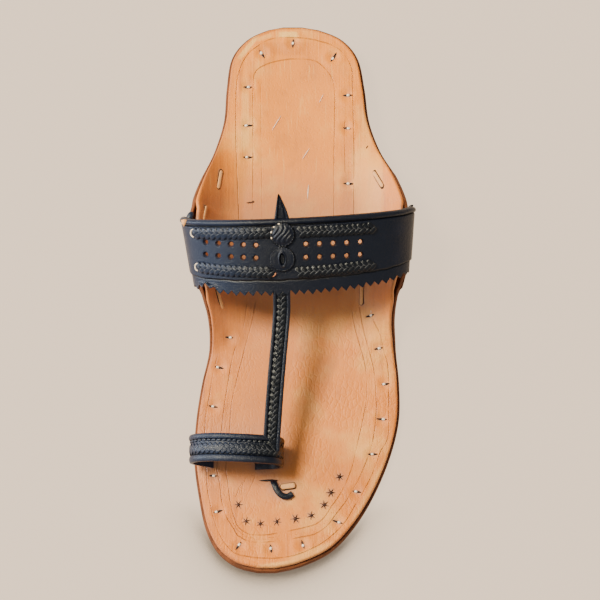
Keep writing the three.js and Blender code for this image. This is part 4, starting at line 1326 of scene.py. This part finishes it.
    def lifts(self) -> None:
        """Builds the heel's lifts."""
        for number in range(SOLE.lifts):
            outline = self.maker.lift_outline(self.sole, 0.15 * number % 0.3, 60)
            base = number * (SOLE.lift + SOLE.gap)
            low = np.column_stack([outline, np.full(len(outline), base)])
            high = low + (0, 0, SOLE.lift)
            faces = tube_faces(2, len(outline))
            made = self.maker.mesh(f"lift_{number + 1}", np.vstack([low, high]), faces, self.finishes.edge)
            self.maker.face_out(made)
            self.maker.round_edges(made, 0.35, 2, 30)
            self.maker.hand_in(made, Slot.EDGE, f"heel_lift_{number + 1}")


class Laces:
    """Lace stitches, slits, stamped stars and small scuffs on the insole."""

    # length and width of the slit unit, which the scars and scuffs share
    SLIT = (4.6, 0.95)

    def __init__(self, maker: Maker, sole: SoleForm, units: Units) -> None:
        """Args: maker; sole; units."""
        self.maker = maker
        self.sole = sole
        self.units = units

    @staticmethod
    def _turned(normal: Array, degrees: float) -> Array:
        """Args: normal; degrees from +X. Returns: that direction, laid along the surface."""
        turn = math.radians(degrees)
        along = np.array([math.cos(turn), math.sin(turn), 0.0])
        return unit(along - normal * along.dot(normal))

    def build(self) -> None:
        """Builds every mark and lace."""
        finishes = self.units.finishes
        slit = self.units.pod("slit_unit", *self.SLIT, 0.3, blunt=1.4)
        nub = self.units.pod("nub_unit", 1.7, 1.45, 1.2, blunt=2.2)
        star = self.units.ray_star("star_unit", 6, 2.45, 0.23, 0.4)
        slits, nubs, stars = Setting.empty(), Setting.empty(), Setting.empty()
        for number, (x, y, degrees) in enumerate(STITCHES):
            (point,), (normal,) = self.sole.surface_at(x, y)
            along = self._turned(normal, degrees)
            slits.put(point - normal * 0.1, along, normal, (0.95 + 0.3 * (number % 3) / 2, 1.1, 1))
            shift = 0.8 * math.sin(2.3 * number)
            nubs.put(point - normal * 0.15 + along * shift, along, normal, (1, 0.85, 1))
        for number, (x, y) in enumerate(STARS):
            (point,), (normal,) = self.sole.surface_at(x, y)
            stars.put(point + normal * 0.03, self._turned(normal, 17 * number), normal)
        self.units.set_out("stitch_slits", slit, slits, finishes.slit, Slot.TAN, 3)
        self.units.set_out("stitch_laces", nub, nubs, finishes.lace, Slot.TAN, 5)
        self.units.set_out("stamped_stars", star, stars, finishes.mark, Slot.TAN, 7)
        scars, scuffs = Setting.empty(), Setting.empty()
        for x, y, degrees, long, wide in SCARS:
            (point,), (normal,) = self.sole.surface_at(x, y)
            into = scars if wide > 0 else scuffs
            size = (long / self.SLIT[0], abs(wide) / self.SLIT[1], 1)
            into.put(point - normal * 0.05, self._turned(normal, degrees), normal, size)
        self.units.set_out("dark_scars", slit, scars, finishes.mark, Slot.TAN, 13)
        self.units.set_out("pale_scuffs", slit, scuffs, finishes.scuff, Slot.TAN, 15)
        self._ear_laces()

    def _ear_laces(self) -> None:
        """Lays the laces on the ears."""
        finishes = self.units.finishes
        strip = self.units.pod("strip_unit", 1.0, 1.0, 1.0, 15, 12, 16.0)
        shade, laces = Setting.empty(), Setting.empty()
        for xa, ya, xb, yb in EAR_LACES:
            points, normals = self.sole.surface_at([xa, xb, (xa + xb) / 2], [ya, yb, (ya + yb) / 2])
            along = unit(points[1] - points[0])
            length = float(np.linalg.norm(points[1] - points[0]))
            laces.put(points[2] + normals[2] * 0.45, along, normals[2], (length, 1.9, 0.9))
            shade.put(points[2] + normals[2] * 0.25, along, normals[2], (length + 1.4, 2.7, 0.5))
        self.units.set_out("ear_lace_shade", strip, shade, finishes.slit, Slot.TAN, 9)
        self.units.set_out("ear_laces", strip, laces, finishes.tan_lace, Slot.TAN, 11)


class InstepBand:
    """The band over the instep with its plaits and bosses."""

    # from and to, as shares of the ball width, then the band's shares there
    PUNCH_ROWS = (
        (-0.447, -0.21, 0.3, 0.335),
        (-0.447, -0.21, 0.468, 0.5),
        (0.028, 0.288, 0.343, 0.374),
        (0.028, 0.288, 0.515, 0.545),
    )
    PLAITS = (
        ("plait_rear_medial", -0.51, -0.149, 0.178, 0.17),
        ("plait_rear_lateral", -0.022, 0.343, 0.175, 0.2),
        ("plait_front_medial", -0.49, -0.137, 0.645, 0.685),
        ("plait_front_lateral", -0.033, 0.343, 0.7, 0.695),
    )
    ROSETTE_SHARE = 0.2
    EYELET_SHARE = 0.52
    BOSS_X = -8.6
    # the skirt's curl at its medial end: middle, reach, how far it draws back and lifts
    CURL = (-44.5, 3.6, 0.1, 2.2)
    # heights over the band's underside and radii of a punch, which widens at its mouth
    PUNCH_PROFILE = ((-2.0, 0.92), (0.27, 0.95), (1.31, 1.3), (2.37, 1.7), (4.1, 1.75))

    def __init__(self, maker: Maker, form: BandForm, units: Units) -> None:
        """Args: maker; form, the band's surface; units."""
        self.maker = maker
        self.form = form
        self.units = units
        self.finishes = units.finishes

    def _height(self, share: float) -> float:
        """Args: share, from the rear edge to the front one. Returns: the thickness there."""
        if share < 0.086:
            return BAND.hem * math.sqrt(max(1 - ((share - 0.045) / 0.05) ** 2, 0.1))
        if share < 0.79:
            return BAND.thickness - 0.5 * float(np.exp(-(((share - 0.086) / 0.008) ** 2)))
        return BAND.skirt + (BAND.thickness - BAND.skirt) * (1 - float(smooth(share, 0.79, 0.8)))

    def band(self) -> Solid:
        """Returns: the band with its teeth and punched holes."""
        tab = self.form.tab
        fine = np.linspace(tab, 1 - tab, 6 * BAND.teeth + 1)
        places = np.concatenate([np.linspace(0, tab, 13)[:-1], fine, np.linspace(1 - tab, 1, 13)[1:]])
        hem, middle = np.linspace(0, 0.086, 11), np.linspace(0.12, 0.775, 24)
        shares = np.concatenate([hem, [0.09, 0.1], middle, [0.786, 0.792, 0.8], np.linspace(0.82, 1, 11)])
        phase = (places - tab) / (1 - 2 * tab) * BAND.teeth
        tooth = np.abs(phase - np.round(phase)) * 2
        cut = np.where((places > tab) & (places < 1 - tab), 1 - tooth, 0) * BAND.tooth_depth / self.form.span
        tucked = (places <= tab) | (places >= 1 - tab)
        curl_x, curl_reach, drawn_back, lifted = self.CURL
        outer, inner, grooves = [], [], []
        for share in shares:
            wave = 0.004 * np.sin(places * 61) + 0.003 * np.sin(places * 143)
            skirt = float(np.clip((share - 0.84) / 0.16, 0, 1))
            height = np.where(tucked, min(self._height(share), BAND.thickness), self._height(share))
            base, normal, _ = self.form.at(places, float(share))
            ahead, _, _ = self.form.at(places, float(share) - 0.05)
            curl = np.exp(-(((base[:, 0] - curl_x) / curl_reach) ** 2)) * float(smooth(share, 0.84, 1))
            short = cut * skirt + drawn_back * curl - wave * float(smooth(share, 0.4, 0.75))
            base = base + (ahead - base) * (short / 0.05)[:, None]
            base = base + normal * (lifted * curl)[:, None]
            outer.append(base + normal * height[:, None])
            inner.append(base)
            behind_main = 1 - float(smooth(abs(share - 0.089), 0.003, 0.012))
            before_main = 1 - float(smooth(abs(share - 0.796), 0.004, 0.016))
            grooves.append(np.full(len(places), max(behind_main, before_main)))
        made = self.maker.slab("instep_band", np.array(outer), np.array(inner), self.finishes.navy)
        self.maker.attribute(made, "groove", np.concatenate([np.array(grooves).ravel()] * 2))
        self._punch(made)
        self.maker.round_edges(made, 0.22, 2, 55)
        return self.maker.hand_in(made, Slot.NAVY, "upper")

    def _punch(self, made: Solid) -> None:
        """Args: made, the band, which gets its punched holes."""
        points, faces = [], []
        a = np.linspace(0, 2 * math.pi, 20, endpoint=False) + 0.11
        for low, high, start, end in self.PUNCH_ROWS:
            for step in np.linspace(0, 1, 5):
                share = start + (end - start) * step
                x = SOLE.ball_width * (low + (high - low) * step)
                point, normal, along = self.form.spot(x, share)
                side = np.cross(normal, along)
                ring = np.cos(a)[:, None] * along + np.sin(a)[:, None] * side
                first = len(points)
                for depth, radius in self.PUNCH_PROFILE:
                    points.extend(point + normal * depth + ring * radius)
                for face in tube_faces(len(self.PUNCH_PROFILE), len(a)):
                    faces.append([first + k for k in face[::-1]])
        cutter = self.maker.mesh("punches", np.array(points), faces, None)
        # the punch walls are marked as groove, which the finish paints nearly black: painted shade inside the
        # holes
        self.maker.attribute(cutter, "groove", np.full(len(points), 0.9))
        cut = made.modifiers.new("punched", "BOOLEAN")
        cut.object = cutter
        cut.operation = "DIFFERENCE"
        cut.solver = "EXACT"
        self.maker.settle(made)
        bpy.data.objects.remove(cutter, do_unlink=True)

    def plaits(self) -> None:
        """Builds the four plaits laid on the band, and the raw lace at their ends."""
        strands = {side: self.units.ribbon(f"strand_unit_{side}", 4.4, 2.1, 0.75, side) for side in (-1, 1)}
        loop = self.units.arc("loop_unit", 1.7, 0.3, 165)
        loops, small = Setting.empty(), Setting.empty()
        near, far = self.finishes.strand, self.finishes.rubbed_strand
        for seed, (name, low, high, start, end) in enumerate(self.PLAITS):
            settings = {-1: Setting.empty(), 1: Setting.empty()}
            total = self.form.curve(start).length
            first = self.form.place_of_x(np.array([SOLE.ball_width * low]), start)[0]
            last = self.form.place_of_x(np.array([SOLE.ball_width * high]), end)[0]
            length = (last - first) * total
            count = round(length / 2.75)
            for run in np.linspace(2.6, length - 1.4, count):
                for side in (-1, 1):
                    at = run + 1.2 * (side > 0)
                    aside = side * BAND.plait_width * 0.235 / self.form.span
                    share = round(start + (end - start) * at / length + aside, 3)
                    (point,), (normal,), (along,) = self.form.at(np.array([first + at / total]), share, 2.62)
                    across = np.cross(normal, along)
                    lean = unit(along + side * 0.8 * across + normal * 0.12)
                    settings[side].put(point, lean, unit(normal - 0.12 * along))
            self.units.set_out(name + "_near", strands[-1], settings[-1], near, Slot.NAVY, seed + 20, (name,))
            self.units.set_out(name + "_far", strands[1], settings[1], far, Slot.NAVY, seed + 20)
            medial = name.endswith("_medial")
            run, share, facing, into = (1.9, start, 1, loops) if medial else (length - 1.2, end, -1, small)
            (point,), (normal,), (along,) = self.form.at(np.array([first + run / total]), share, 3.1)
            into.put(point, along * facing, normal, (1.15, 1.15, 1) if medial else (0.85, 0.85, 0.8))
        self.units.set_out("plait_ends", loop, loops, self.finishes.thread, Slot.NAVY, 31)
        self.units.set_out("plait_far_ends", loop, small, self.finishes.bead, Slot.NAVY, 33)

    def _boss(
        self, name: str, share: float, radius: float, lift: float, relief: Relief, node: str
    ) -> tuple[Array, ...]:
        """Makes a boss with a relief on its face.

        Args: name; share, where its middle lies on the band; radius, lift, its size and how high it sits;
            relief, the height of its face at places from its middle; node, the CAD node it stands for.
        Returns: its middle, normal and the directions across and along the foot.
        """
        point, normal, along = self.form.spot(self.BOSS_X, share, lift)
        side = np.cross(normal, along)
        a = np.linspace(0, 2 * math.pi, 96, endpoint=False)
        reach = radius * np.linspace(0, 1, 30)[1:, None]
        u, v = reach * np.cos(a), reach * np.sin(a)
        high = relief(u, v)
        rings = point + u[..., None] * along + v[..., None] * side + high[..., None] * normal
        floor = rings[-1] - (high[-1] - 0.05)[:, None] * normal
        top = point + normal * float(relief(np.zeros(1), np.zeros(1))[0])
        points = np.vstack([rings.reshape(-1, 3), floor, [top], [point + normal * 0.05]])
        n, rows = len(a), len(rings) + 1
        faces = tube_faces(rows, n, closed=False)
        faces += [[len(points) - 2, j, (j + 1) % n] for j in range(n)]
        faces += [[len(points) - 1, (rows - 1) * n + (j + 1) % n, (rows - 1) * n + j] for j in range(n)]
        made = self.maker.mesh(name, points, faces, self.finishes.navy)
        self.maker.face_out(made)
        # the lower the relief, the more it is marked as groove and painted dark: painted shade in the boss's
        # hollows
        low = smooth(0.9 - np.concatenate([high.ravel(), np.zeros(n + 2)]), 0, 0.5)
        self.maker.attribute(made, "groove", low)
        self.maker.hand_in(made, Slot.NAVY, node)
        return point, normal, along, side

    @staticmethod
    def _rosette_relief(x: Array, y: Array) -> Array:
        """Args: x, y from its middle. Returns: the height of twisted petals on a dome."""
        r = np.hypot(x, y) / 6.1
        bend = x - 1.5 * np.sin(y * 0.52) - 0.25 * y
        petals = 0.55 * np.sqrt(np.abs(np.cos(math.pi * bend / 2.5))) * (1 - smooth(r, 0.62, 0.86))
        return 1.0 + 0.75 * (1 - smooth(r, 0.1, 0.9)) + petals - 0.7 * smooth(r, 0.93, 1.0)

    @staticmethod
    def _eyelet_relief(x: Array, y: Array) -> Array:
        """Args: x, y from its middle. Returns: the height of a rimmed oval hole on a dome."""
        r = np.hypot(x, y) / 6.2
        oval = np.hypot(x / 1.9, y / 4.1)
        rim = 0.6 * np.exp(-(((oval - 0.86) / 0.14) ** 2))
        slot = 1.0 * (1 - smooth(oval, 0.5, 0.72))
        return 1.25 + rim - slot + 0.15 * (1 - smooth(r, 0.6, 0.9)) - 0.8 * smooth(r, 0.93, 1.0)

    def bosses(self) -> None:
        """Builds the rosette and the eyelet boss with their beaded edges."""
        bead = self.units.pod("bead_unit", 1.2, 0.75, 0.8, 7, 10, 2.0)
        beads, dots = Setting.empty(), Setting.empty()
        rosette = (self.ROSETTE_SHARE, 6.1, BAND.hem + 0.1, self._rosette_relief, "rosette")
        eyelet = (self.EYELET_SHARE, 6.2, BAND.thickness + 0.1, self._eyelet_relief, "eyelet_boss")
        settings = (("rosette_leather", rosette, 24, 5.55, 0.9), ("eyelet_leather", eyelet, 28, 5.75, 0.95))
        for name, boss, count, reach, height in settings:
            point, normal, along, side = self._boss(name, *boss)
            for k in range(count):
                a = 2 * math.pi * k / count
                out = math.cos(a) * along + math.sin(a) * side
                thread = dots if boss is rosette and 1.7 < a < 3.5 and k % 2 else beads
                thread.put(point + out * reach + normal * height, np.cross(normal, out) + out * 0.35, normal)
        self.units.set_out("boss_beads", bead, beads, self.finishes.bead, Slot.NAVY, 41)
        self.units.set_out("boss_threads", bead, dots, self.finishes.thread, Slot.NAVY, 43)
        knot = self.units.pod("boss_knot_unit", 1.7, 0.8, 0.9, 7, 10, 2.0)
        knots = Setting.empty()
        share = (self.ROSETTE_SHARE + self.EYELET_SHARE) / 2
        point, normal, along = self.form.spot(self.BOSS_X, share, BAND.thickness + 1.0)
        side = np.cross(normal, along)
        for k in (-1, 0, 1):
            knots.put(point + along * k * 1.3, unit(along + side * 1.1), normal)
        self.units.set_out("boss_knot", knot, knots, self.finishes.bead, Slot.NAVY, 45)

    def corners(self) -> None:
        """Builds the raw corner, the tucked lumps at the band's rear ends and the copper lace end."""
        point, normal, along = self.form.spot(-55.4, 0.05, BAND.hem)
        forward = np.cross(along, normal)
        raw = self.units.ray_star("raw_corner_unit", 3, 2.7, 0.62, 0.5)
        setting = Setting.empty()
        setting.put(point + (0.2, 0, 1.6), forward, unit(normal * 0.4 + (0, 0, 1)), (0.9, 0.7, 1))
        self.units.set_out("raw_corner", raw, setting, self.finishes.tan_lace, Slot.NAVY, 81)
        lump = self.units.pod("lump_unit", 5.6, 3.4, 3.0, 11, 14, 2.2)
        setting = Setting.empty()
        (point,), (normal,), (along,) = self.form.at(np.array([self.form.tab * 0.9]), 0.0, 1.0)
        setting.put(point + (0, 1.6, 0), (0.5, 1, 0.2), (0, 0, 1))
        (point,), (normal,), (along,) = self.form.at(np.array([1 - self.form.tab - 0.01]), 0.0, 1.2)
        setting.put(point + (-1.4, 0.3, -0.4), (1, 0.5, 0.1), (0, 0, 1), (0.55, 0.4, 0.5))
        self.units.set_out("tucked_corners", lump, setting, self.finishes.strand, Slot.NAVY, 83)
        setting = Setting.empty()
        point, normal, along = self.form.spot(SOLE.ball_width * -0.137 + 1.2, 0.72, 2.7)
        setting.put(point, unit(along - 0.7 * np.cross(along, normal)), normal, (0.5, 0.42, 0.35))
        self.units.set_out("copper_lace_end", lump, setting, self.finishes.copper, Slot.NAVY, 85)


class Strap:
    """A strap along a curve with a shaped cross section."""

    def __init__(self, curve: Curve, broad: Rule, width: float, thickness: float) -> None:
        """Args: curve of the underside; broad, its width's direction at given places; width; thickness."""
        self.curve = curve
        self.broad = broad
        self.width = width
        self.thickness = thickness

    def frame(self, places: Array) -> tuple[Array, Array, Array, Array]:
        """Args: places, shares of the length. Returns: points, tangents, sides and normals."""
        tangent = self.curve.tangents(places)
        broad = self.broad(places)
        side = unit(broad - tangent * np.einsum("ij,ij->i", tangent, broad)[:, None])
        return self.curve.at(places), tangent, side, np.cross(tangent, side)

    def slab(
        self,
        maker: Maker,
        name: str,
        places: Array,
        across: Array,
        height: Rule,
        taper: Array,
        material: bpy.types.Material,
    ) -> Solid:
        """Makes the strap's slab.

        Args: maker; name; places, shares of the length; across, shares of the width;
            height, a share of the thickness at each of those; taper, a share of the width at each place;
            material, the finish.
        Returns: the slab.
        """
        point, _, side, normal = self.frame(places)
        spread = across[None, :, None] * (self.width * taper)[:, None, None] * side[:, None, :]
        base = point[:, None, :] + spread
        raised = base + normal[:, None, :] * (height(across) * self.thickness)[None, :, None]
        return maker.slab(name, raised, base, material)


class Straps:
    """The strap down the foot, the toe ring, the knot and its peg."""

    RING_ROUTE = (
        (-0.56, 0.05), (-0.74, 0.19), (-0.94, 0.35), (-1, 0.54), (-0.83, 0.8), (-0.46, 0.96), (0, 1),
        (0.46, 0.98), (0.82, 0.9), (0.98, 0.7), (0.97, 0.46), (0.85, 0.28), (0.6, 0.16), (0.42, 0.05),
    )
    KNOT_ROUTE = (
        (0, 0, -2.6), (0.1, -0.3, 0.4), (0.8, -2.0, 1.5), (2.1, -4.8, 1.8),
        (4.4, -7.0, 1.7), (7.2, -7.4, 1.3), (9.6, -6.0, 1.0),
    )

    def __init__(self, maker: Maker, sole: SoleForm, band: BandForm, units: Units) -> None:
        """Args: maker; sole; band, its surface; units."""
        self.maker = maker
        self.sole = sole
        self.band = band
        self.units = units
        self.finishes = units.finishes
        self.floor = sole.top + float(sole.rise(0.5 - STRAP.ring_front_y / SOLE.length))

    def _ring_point(self, across: float, up: float) -> Array:
        """Args: across, up, shares of the ring's half width and height. Returns: the point."""
        x = STRAP.ring_x + across * STRAP.ring_half_width
        y = STRAP.ring_front_y + STRAP.ring_width / 2 - STRAP.ring_skew * across
        return np.array([x, y, self.floor + up * STRAP.ring_height])

    @staticmethod
    def _across_foot(places: Array) -> Array:
        """Args: places. Returns: +X at each."""
        return np.tile([1.0, 0.0, 0.0], (len(places), 1))

    @staticmethod
    def _along_foot(places: Array) -> Array:
        """Args: places. Returns: +Y at each."""
        return np.tile([0.0, 1.0, 0.0], (len(places), 1))

    def _groove(self, made: Solid, rows: int, across: Array, lines: tuple) -> None:
        """Args: made, a slab; rows in it; across, its shares of the width; lines, the grooves' shares."""
        groove = np.zeros_like(across)
        for line in lines:
            groove = np.maximum(groove, 1 - smooth(np.abs(across - line), 0.008, 0.03))
        every = np.repeat(groove[None], rows, axis=0).ravel()
        self.maker.attribute(made, "groove", np.concatenate([every, every]))

    def _strands(
        self,
        name: str,
        strap: Strap,
        start: float,
        end: float,
        centre: float,
        reach: float,
        lift: float,
        seed: int,
        pitch: float = 2.9,
    ) -> None:
        """Lays a braid of two strands down a strap.

        Args: name, the braid's; strap, which it lies on; start, end, lengths along the strap; centre, its
            middle, a share of the strap's width; reach, lift, its width and its height over the strap's
            underside; seed, of the strands' shades; pitch, from strand to strand.
        """
        near, far = self.finishes.strand, self.finishes.rubbed_strand
        settings = {-1: Setting.empty(), 1: Setting.empty()}
        total = strap.curve.length
        count = round((end - start) / pitch)
        for s in np.linspace(start, end, count + 1):
            for way in (-1, 1):
                place = np.array([(s + (0.5 * pitch if way > 0 else 0)) / total])
                (point,), (tangent,), (side,), (normal,) = strap.frame(place)
                offset = centre * strap.width + way * reach * 0.5
                lean = unit(tangent - way * 0.8 * side + normal * 0.16)
                at = point + side * offset + normal * lift
                settings[-way].put(at, lean, unit(normal - 0.12 * tangent), (reach / 2.4, reach / 2.4, 0.85))
        self.units.set_out(name + "_near", "strand_unit_-1", settings[-1], near, Slot.NAVY, seed)
        self.units.set_out(name + "_far", "strand_unit_1", settings[1], far, Slot.NAVY, seed)

    def centre_strap(self) -> None:
        """Builds the strap from its pointed end behind the band to the toe ring."""

        def crest(share: float) -> Array:
            """Args: share of the band. Returns: the strap's underside on its crest there."""
            place = self.band.place_of_x(np.array([STRAP.x]), share)
            return self.band.at(place, share, STRAP.bite - STRAP.thickness)[0][0]

        rear, front = crest(0.0), crest(1.0)
        along = unit(rear - front)
        end = self._ring_point(STRAP.end_across, STRAP.end_up) + (0, 0, STRAP.bite - STRAP.thickness)
        knee = front - along * STRAP.knee
        tip = rear + along * STRAP.spike - (STRAP.spike_lean, 0, 0)
        curve = Curve(np.array([tip, rear, front, knee, front + (end - front) * 0.6, end]))
        strap = Strap(curve, self._across_foot, STRAP.width, STRAP.thickness)
        spike = np.linspace(0, STRAP.spike, 14)[:-1]
        run = np.concatenate([spike, np.linspace(STRAP.spike, curve.length, 120)])
        places = run / curve.length
        taper = np.clip(0.06 + 0.8 * (run / STRAP.spike) ** 0.85, 0, 1)
        taper = np.where(run > STRAP.spike, 0.86 + 0.14 * smooth(run, STRAP.spike, STRAP.spike + 9), taper)
        edge, middle = np.linspace(0.27, 0.5, 9), np.linspace(-0.25, 0.25, 7)
        across = np.concatenate([-edge[::-1], middle, edge])

        def height(a: Array) -> Array:
            """Args: a, shares of the width. Returns: the height over a raised border."""
            border = 0.72 + 0.36 * np.sqrt(np.clip(1 - ((np.abs(a) - 0.39) / 0.125) ** 2, 0, 1))
            return np.where(np.abs(a) > 0.26, border, 0.6)

        made = strap.slab(self.maker, "centre_strap", places, across, height, taper, self.finishes.navy)
        self._groove(made, len(places), across, (-0.265, 0.265))
        self.maker.round_edges(made, 0.25, 2, 55)
        self.maker.hand_in(made, Slot.NAVY)
        start = STRAP.spike + self.band.span - 5
        self._strands("centre_strap_strands", strap, start, curve.length - 3, 0.0, 2.25, 1.5, 51)

    def toe_ring(self) -> None:
        """Builds the toe ring."""
        points = [self._ring_point(*row) for row in self.RING_ROUTE]
        feet = [p * (1, 1, 0) + (0, 0, self.floor - SOLE.insole) for p in (points[0], points[-1])]
        curve = Curve(np.array([feet[0], *points, feet[1]]))
        strap = Strap(curve, self._along_foot, STRAP.ring_width, STRAP.ring_thickness)
        places = np.linspace(0, 1, 130)
        front, middle = np.linspace(-0.5, -0.245, 11), np.linspace(-0.225, 0.27, 14)
        across = np.concatenate([front, middle, np.linspace(0.285, 0.5, 10)])

        def height(a: Array) -> Array:
            """Args: a, shares of the width. Returns: the height, with a rounded border at each side."""
            front = 0.6 + 0.45 * np.sqrt(np.clip(1 - ((a + 0.37) / 0.135) ** 2, 0, 1))
            rear = 0.65 + 0.5 * np.sqrt(np.clip(1 - ((a - 0.39) / 0.115) ** 2, 0, 1))
            return np.where(a < -0.235, front, np.where(a > 0.278, rear, 0.62))

        even = np.ones_like(places)
        made = strap.slab(self.maker, "toe_ring", places, across, height, even, self.finishes.navy)
        self._groove(made, len(places), across, (-0.235, 0.278))
        self.maker.round_edges(made, 0.3, 2, 55)
        self.maker.hand_in(made, Slot.NAVY)
        self._strands("toe_ring_strands", strap, 8.0, curve.length - 8, -0.03, 2.3, 1.3, 61, 2.5)
        self._scallops(strap)

    def _scallops(self, strap: Strap) -> None:
        """Args: strap, the toe ring's, which gets a scalloped line."""
        scallop = self.units.pod("scallop_unit", 2.6, 1.3, 0.9, 7, 10, 2.0)
        setting = Setting.empty()
        total = strap.curve.length
        for s in np.arange(8.0, total - 8.0, 2.5):
            (point,), (tangent,), (side,), (normal,) = strap.frame(np.array([s / total]))
            setting.put(point + side * 0.25 * strap.width + normal * 1.45, tangent, normal)
        self.units.set_out("toe_ring_scallops", scallop, setting, self.finishes.strand, Slot.NAVY, 67)

    def knot(self) -> None:
        """Builds the knotted tail, its slit and its peg."""
        floor = self.sole.top + float(self.sole.rise(0.5 - STRAP.knot_y / SOLE.length))
        start = np.array([STRAP.knot_x, STRAP.knot_y, floor])
        curve = Curve(start + np.array(self.KNOT_ROUTE, float))

        def broad(places: Array) -> Array:
            """Args: places. Returns: the tail's width direction, which turns over in the knot."""
            turn = math.radians(100) * smooth(places, 0.45, 0.85)
            return np.stack([np.cos(turn), np.sin(turn), np.zeros_like(turn)], axis=-1)

        def rounded(a: Array) -> Array:
            """Args: a, shares of the width. Returns: the height."""
            return 1 - 1.2 * a**2

        strap = Strap(curve, broad, STRAP.knot_width, STRAP.knot_thickness)
        across = np.linspace(-0.5, 0.5, 9)
        places, whole = np.linspace(0, 1, 48), np.ones(48)
        made = strap.slab(self.maker, "knot_leather", places, across, rounded, whole, self.finishes.navy)
        self._groove(made, 48, across, ())
        self.maker.round_edges(made, 0.25, 2, 50)
        self.maker.hand_in(made, Slot.NAVY, "thong_knot")
        slit, peg = Setting.empty(), Setting.empty()
        tan = self.finishes.tan_lace
        (point,), (normal,) = self.sole.surface_at(STRAP.knot_x - 2.4, STRAP.knot_y + 0.5)
        slit.put(point, (1, 0.03, 0), normal, (2.1, 1.1, 0.8))
        self.units.set_out("knot_slit", "slit_unit", slit, self.finishes.slit, Slot.TAN, 71)
        (point,), (normal,) = self.sole.surface_at(STRAP.knot_x + 7.4, STRAP.knot_y - 2.6)
        peg.put(point + normal * 0.95, (1, 0.14, 0), normal, (7.6, 2.8, 1.2))
        shade = Setting.empty()
        shade.put(point + normal * 0.1, (1, 0.14, 0), normal, (8.6, 3.6, 0.5))
        self.units.set_out("peg_shade", "strip_unit", shade, self.finishes.slit, Slot.TAN, 75)
        self.units.set_out("peg_leather", "strip_unit", peg, tan, Slot.TAN, 73, ("thong_peg",))


class Studio:
    """Floor, lights and camera."""

    ELEVATION = 78.0
    DISTANCE = 1.25
    TARGET = (0.0, -3.5, 12.0)
    HALF_VIEW = 6.93
    # name, place, size, power and colour of each lamp
    LAMPS = (
        ("key", (-0.8, 0.3, 1.72), 0.5, 64, (1.0, 0.92, 0.71)),
        ("side", (-1.5, 0.2, 0.42), 0.7, 30, (0.82, 0.9, 1.0)),
        ("fill", (1.3, -0.9, 1.5), 1.6, 2.5, (0.95, 0.97, 1.0)),
    )
    AIR = (0.86, 0.91, 0.95, 1)
    AIR_STRENGTH = 0.38
    PAPER = (224, 199, 172)
    PAPER_GLOW = 1.95

    def __init__(self, maker: Maker) -> None:
        """Args: maker."""
        self.maker = maker

    def build(self) -> None:
        """Builds the studio round the sandal."""
        self._floor()
        self._lights()
        self._camera()

    def _floor(self) -> None:
        """Lays the paper floor, which glows evenly, with a painted contact shadow where the sandal shuts it
        in towards the toe.
        """
        bpy.ops.mesh.primitive_plane_add(size=6)
        floor = bpy.context.object
        floor.name = "floor"
        for corner in floor.data.vertices:
            corner.co.z = -0.3 * MM
        g = Graph("floor_paper")
        near = g.openness(0.026)
        paper = srgb(*self.PAPER)
        # painted contact shadow: the glow darkens where ambient occlusion finds the floor shut in, only
        # towards the toe
        outside_painted_toe_shadow = near.eased(0.6, 1.0).most(g.axis("Y").eased(-0.13, -0.1))
        lit = g.mix(tuple(c * 0.15 for c in paper), paper, outside_painted_toe_shadow)
        shade = tuple(c * 0.1 for c in paper)
        g.tree.links.new(lit.socket, g.shader.inputs["Emission Color"])
        paper_look = g.finish(shade, 0.9, Emission_Strength=self.PAPER_GLOW, Specular_IOR_Level=0.05)
        floor.data.materials.append(paper_look)

    def _area(self, name: str, place: tuple, size: float, power: float, colour: Colour) -> None:
        """Args: name; place in metres; size; power; colour of a lamp that faces the sandal."""
        data = bpy.data.lights.new(name, "AREA")
        data.size = size
        data.energy = power
        data.color = colour
        made = bpy.data.objects.new(name, data)
        made.location = place
        made.rotation_euler = (-Vector(place)).to_track_quat("-Z", "Y").to_euler()
        bpy.context.scene.collection.objects.link(made)

    def _lights(self) -> None:
        """Hangs the lamps and sets the air's light."""
        for lamp in self.LAMPS:
            self._area(*lamp)
        world = bpy.data.worlds.new("studio_air")
        world.use_nodes = True
        air = world.node_tree.nodes["Background"]
        air.inputs["Color"].default_value = self.AIR
        air.inputs["Strength"].default_value = self.AIR_STRENGTH
        bpy.context.scene.world = world

    def _camera(self) -> None:
        """Stands the camera up."""
        data = bpy.data.cameras.new("camera")
        data.sensor_width = 36
        data.lens = 18 / math.tan(math.radians(self.HALF_VIEW))
        data.dof.use_dof = False
        target = Vector(self.maker.metres(np.array(self.TARGET)))
        raised = math.radians(self.ELEVATION)
        made = bpy.data.objects.new("camera", data)
        made.location = target + Vector((0, -math.cos(raised), math.sin(raised))) * self.DISTANCE
        made.rotation_euler = (math.radians(90 - self.ELEVATION), 0, 0)
        bpy.context.scene.collection.objects.link(made)
        bpy.context.scene.camera = made


def main() -> None:
    """Builds the sandal's looks piece by piece, then the studio."""
    logging.basicConfig(level=logging.INFO, format="%(name)s: %(message)s")
    sole = SoleForm()
    band = BandForm(sole)
    maker = Maker(sole)
    finishes = Finishes()
    units = Units(maker, finishes)
    plies = Plies(maker, sole, finishes)
    plies.insole()
    plies.outsole()
    plies.lifts()
    Laces(maker, sole, units).build()
    instep = InstepBand(maker, band, units)
    instep.band()
    instep.plaits()
    instep.bosses()
    instep.corners()
    straps = Straps(maker, sole, band, units)
    straps.centre_strap()
    straps.toe_ring()
    straps.knot()
    units.clear()
    Studio(maker).build()


if __name__ == "__main__":
    main()
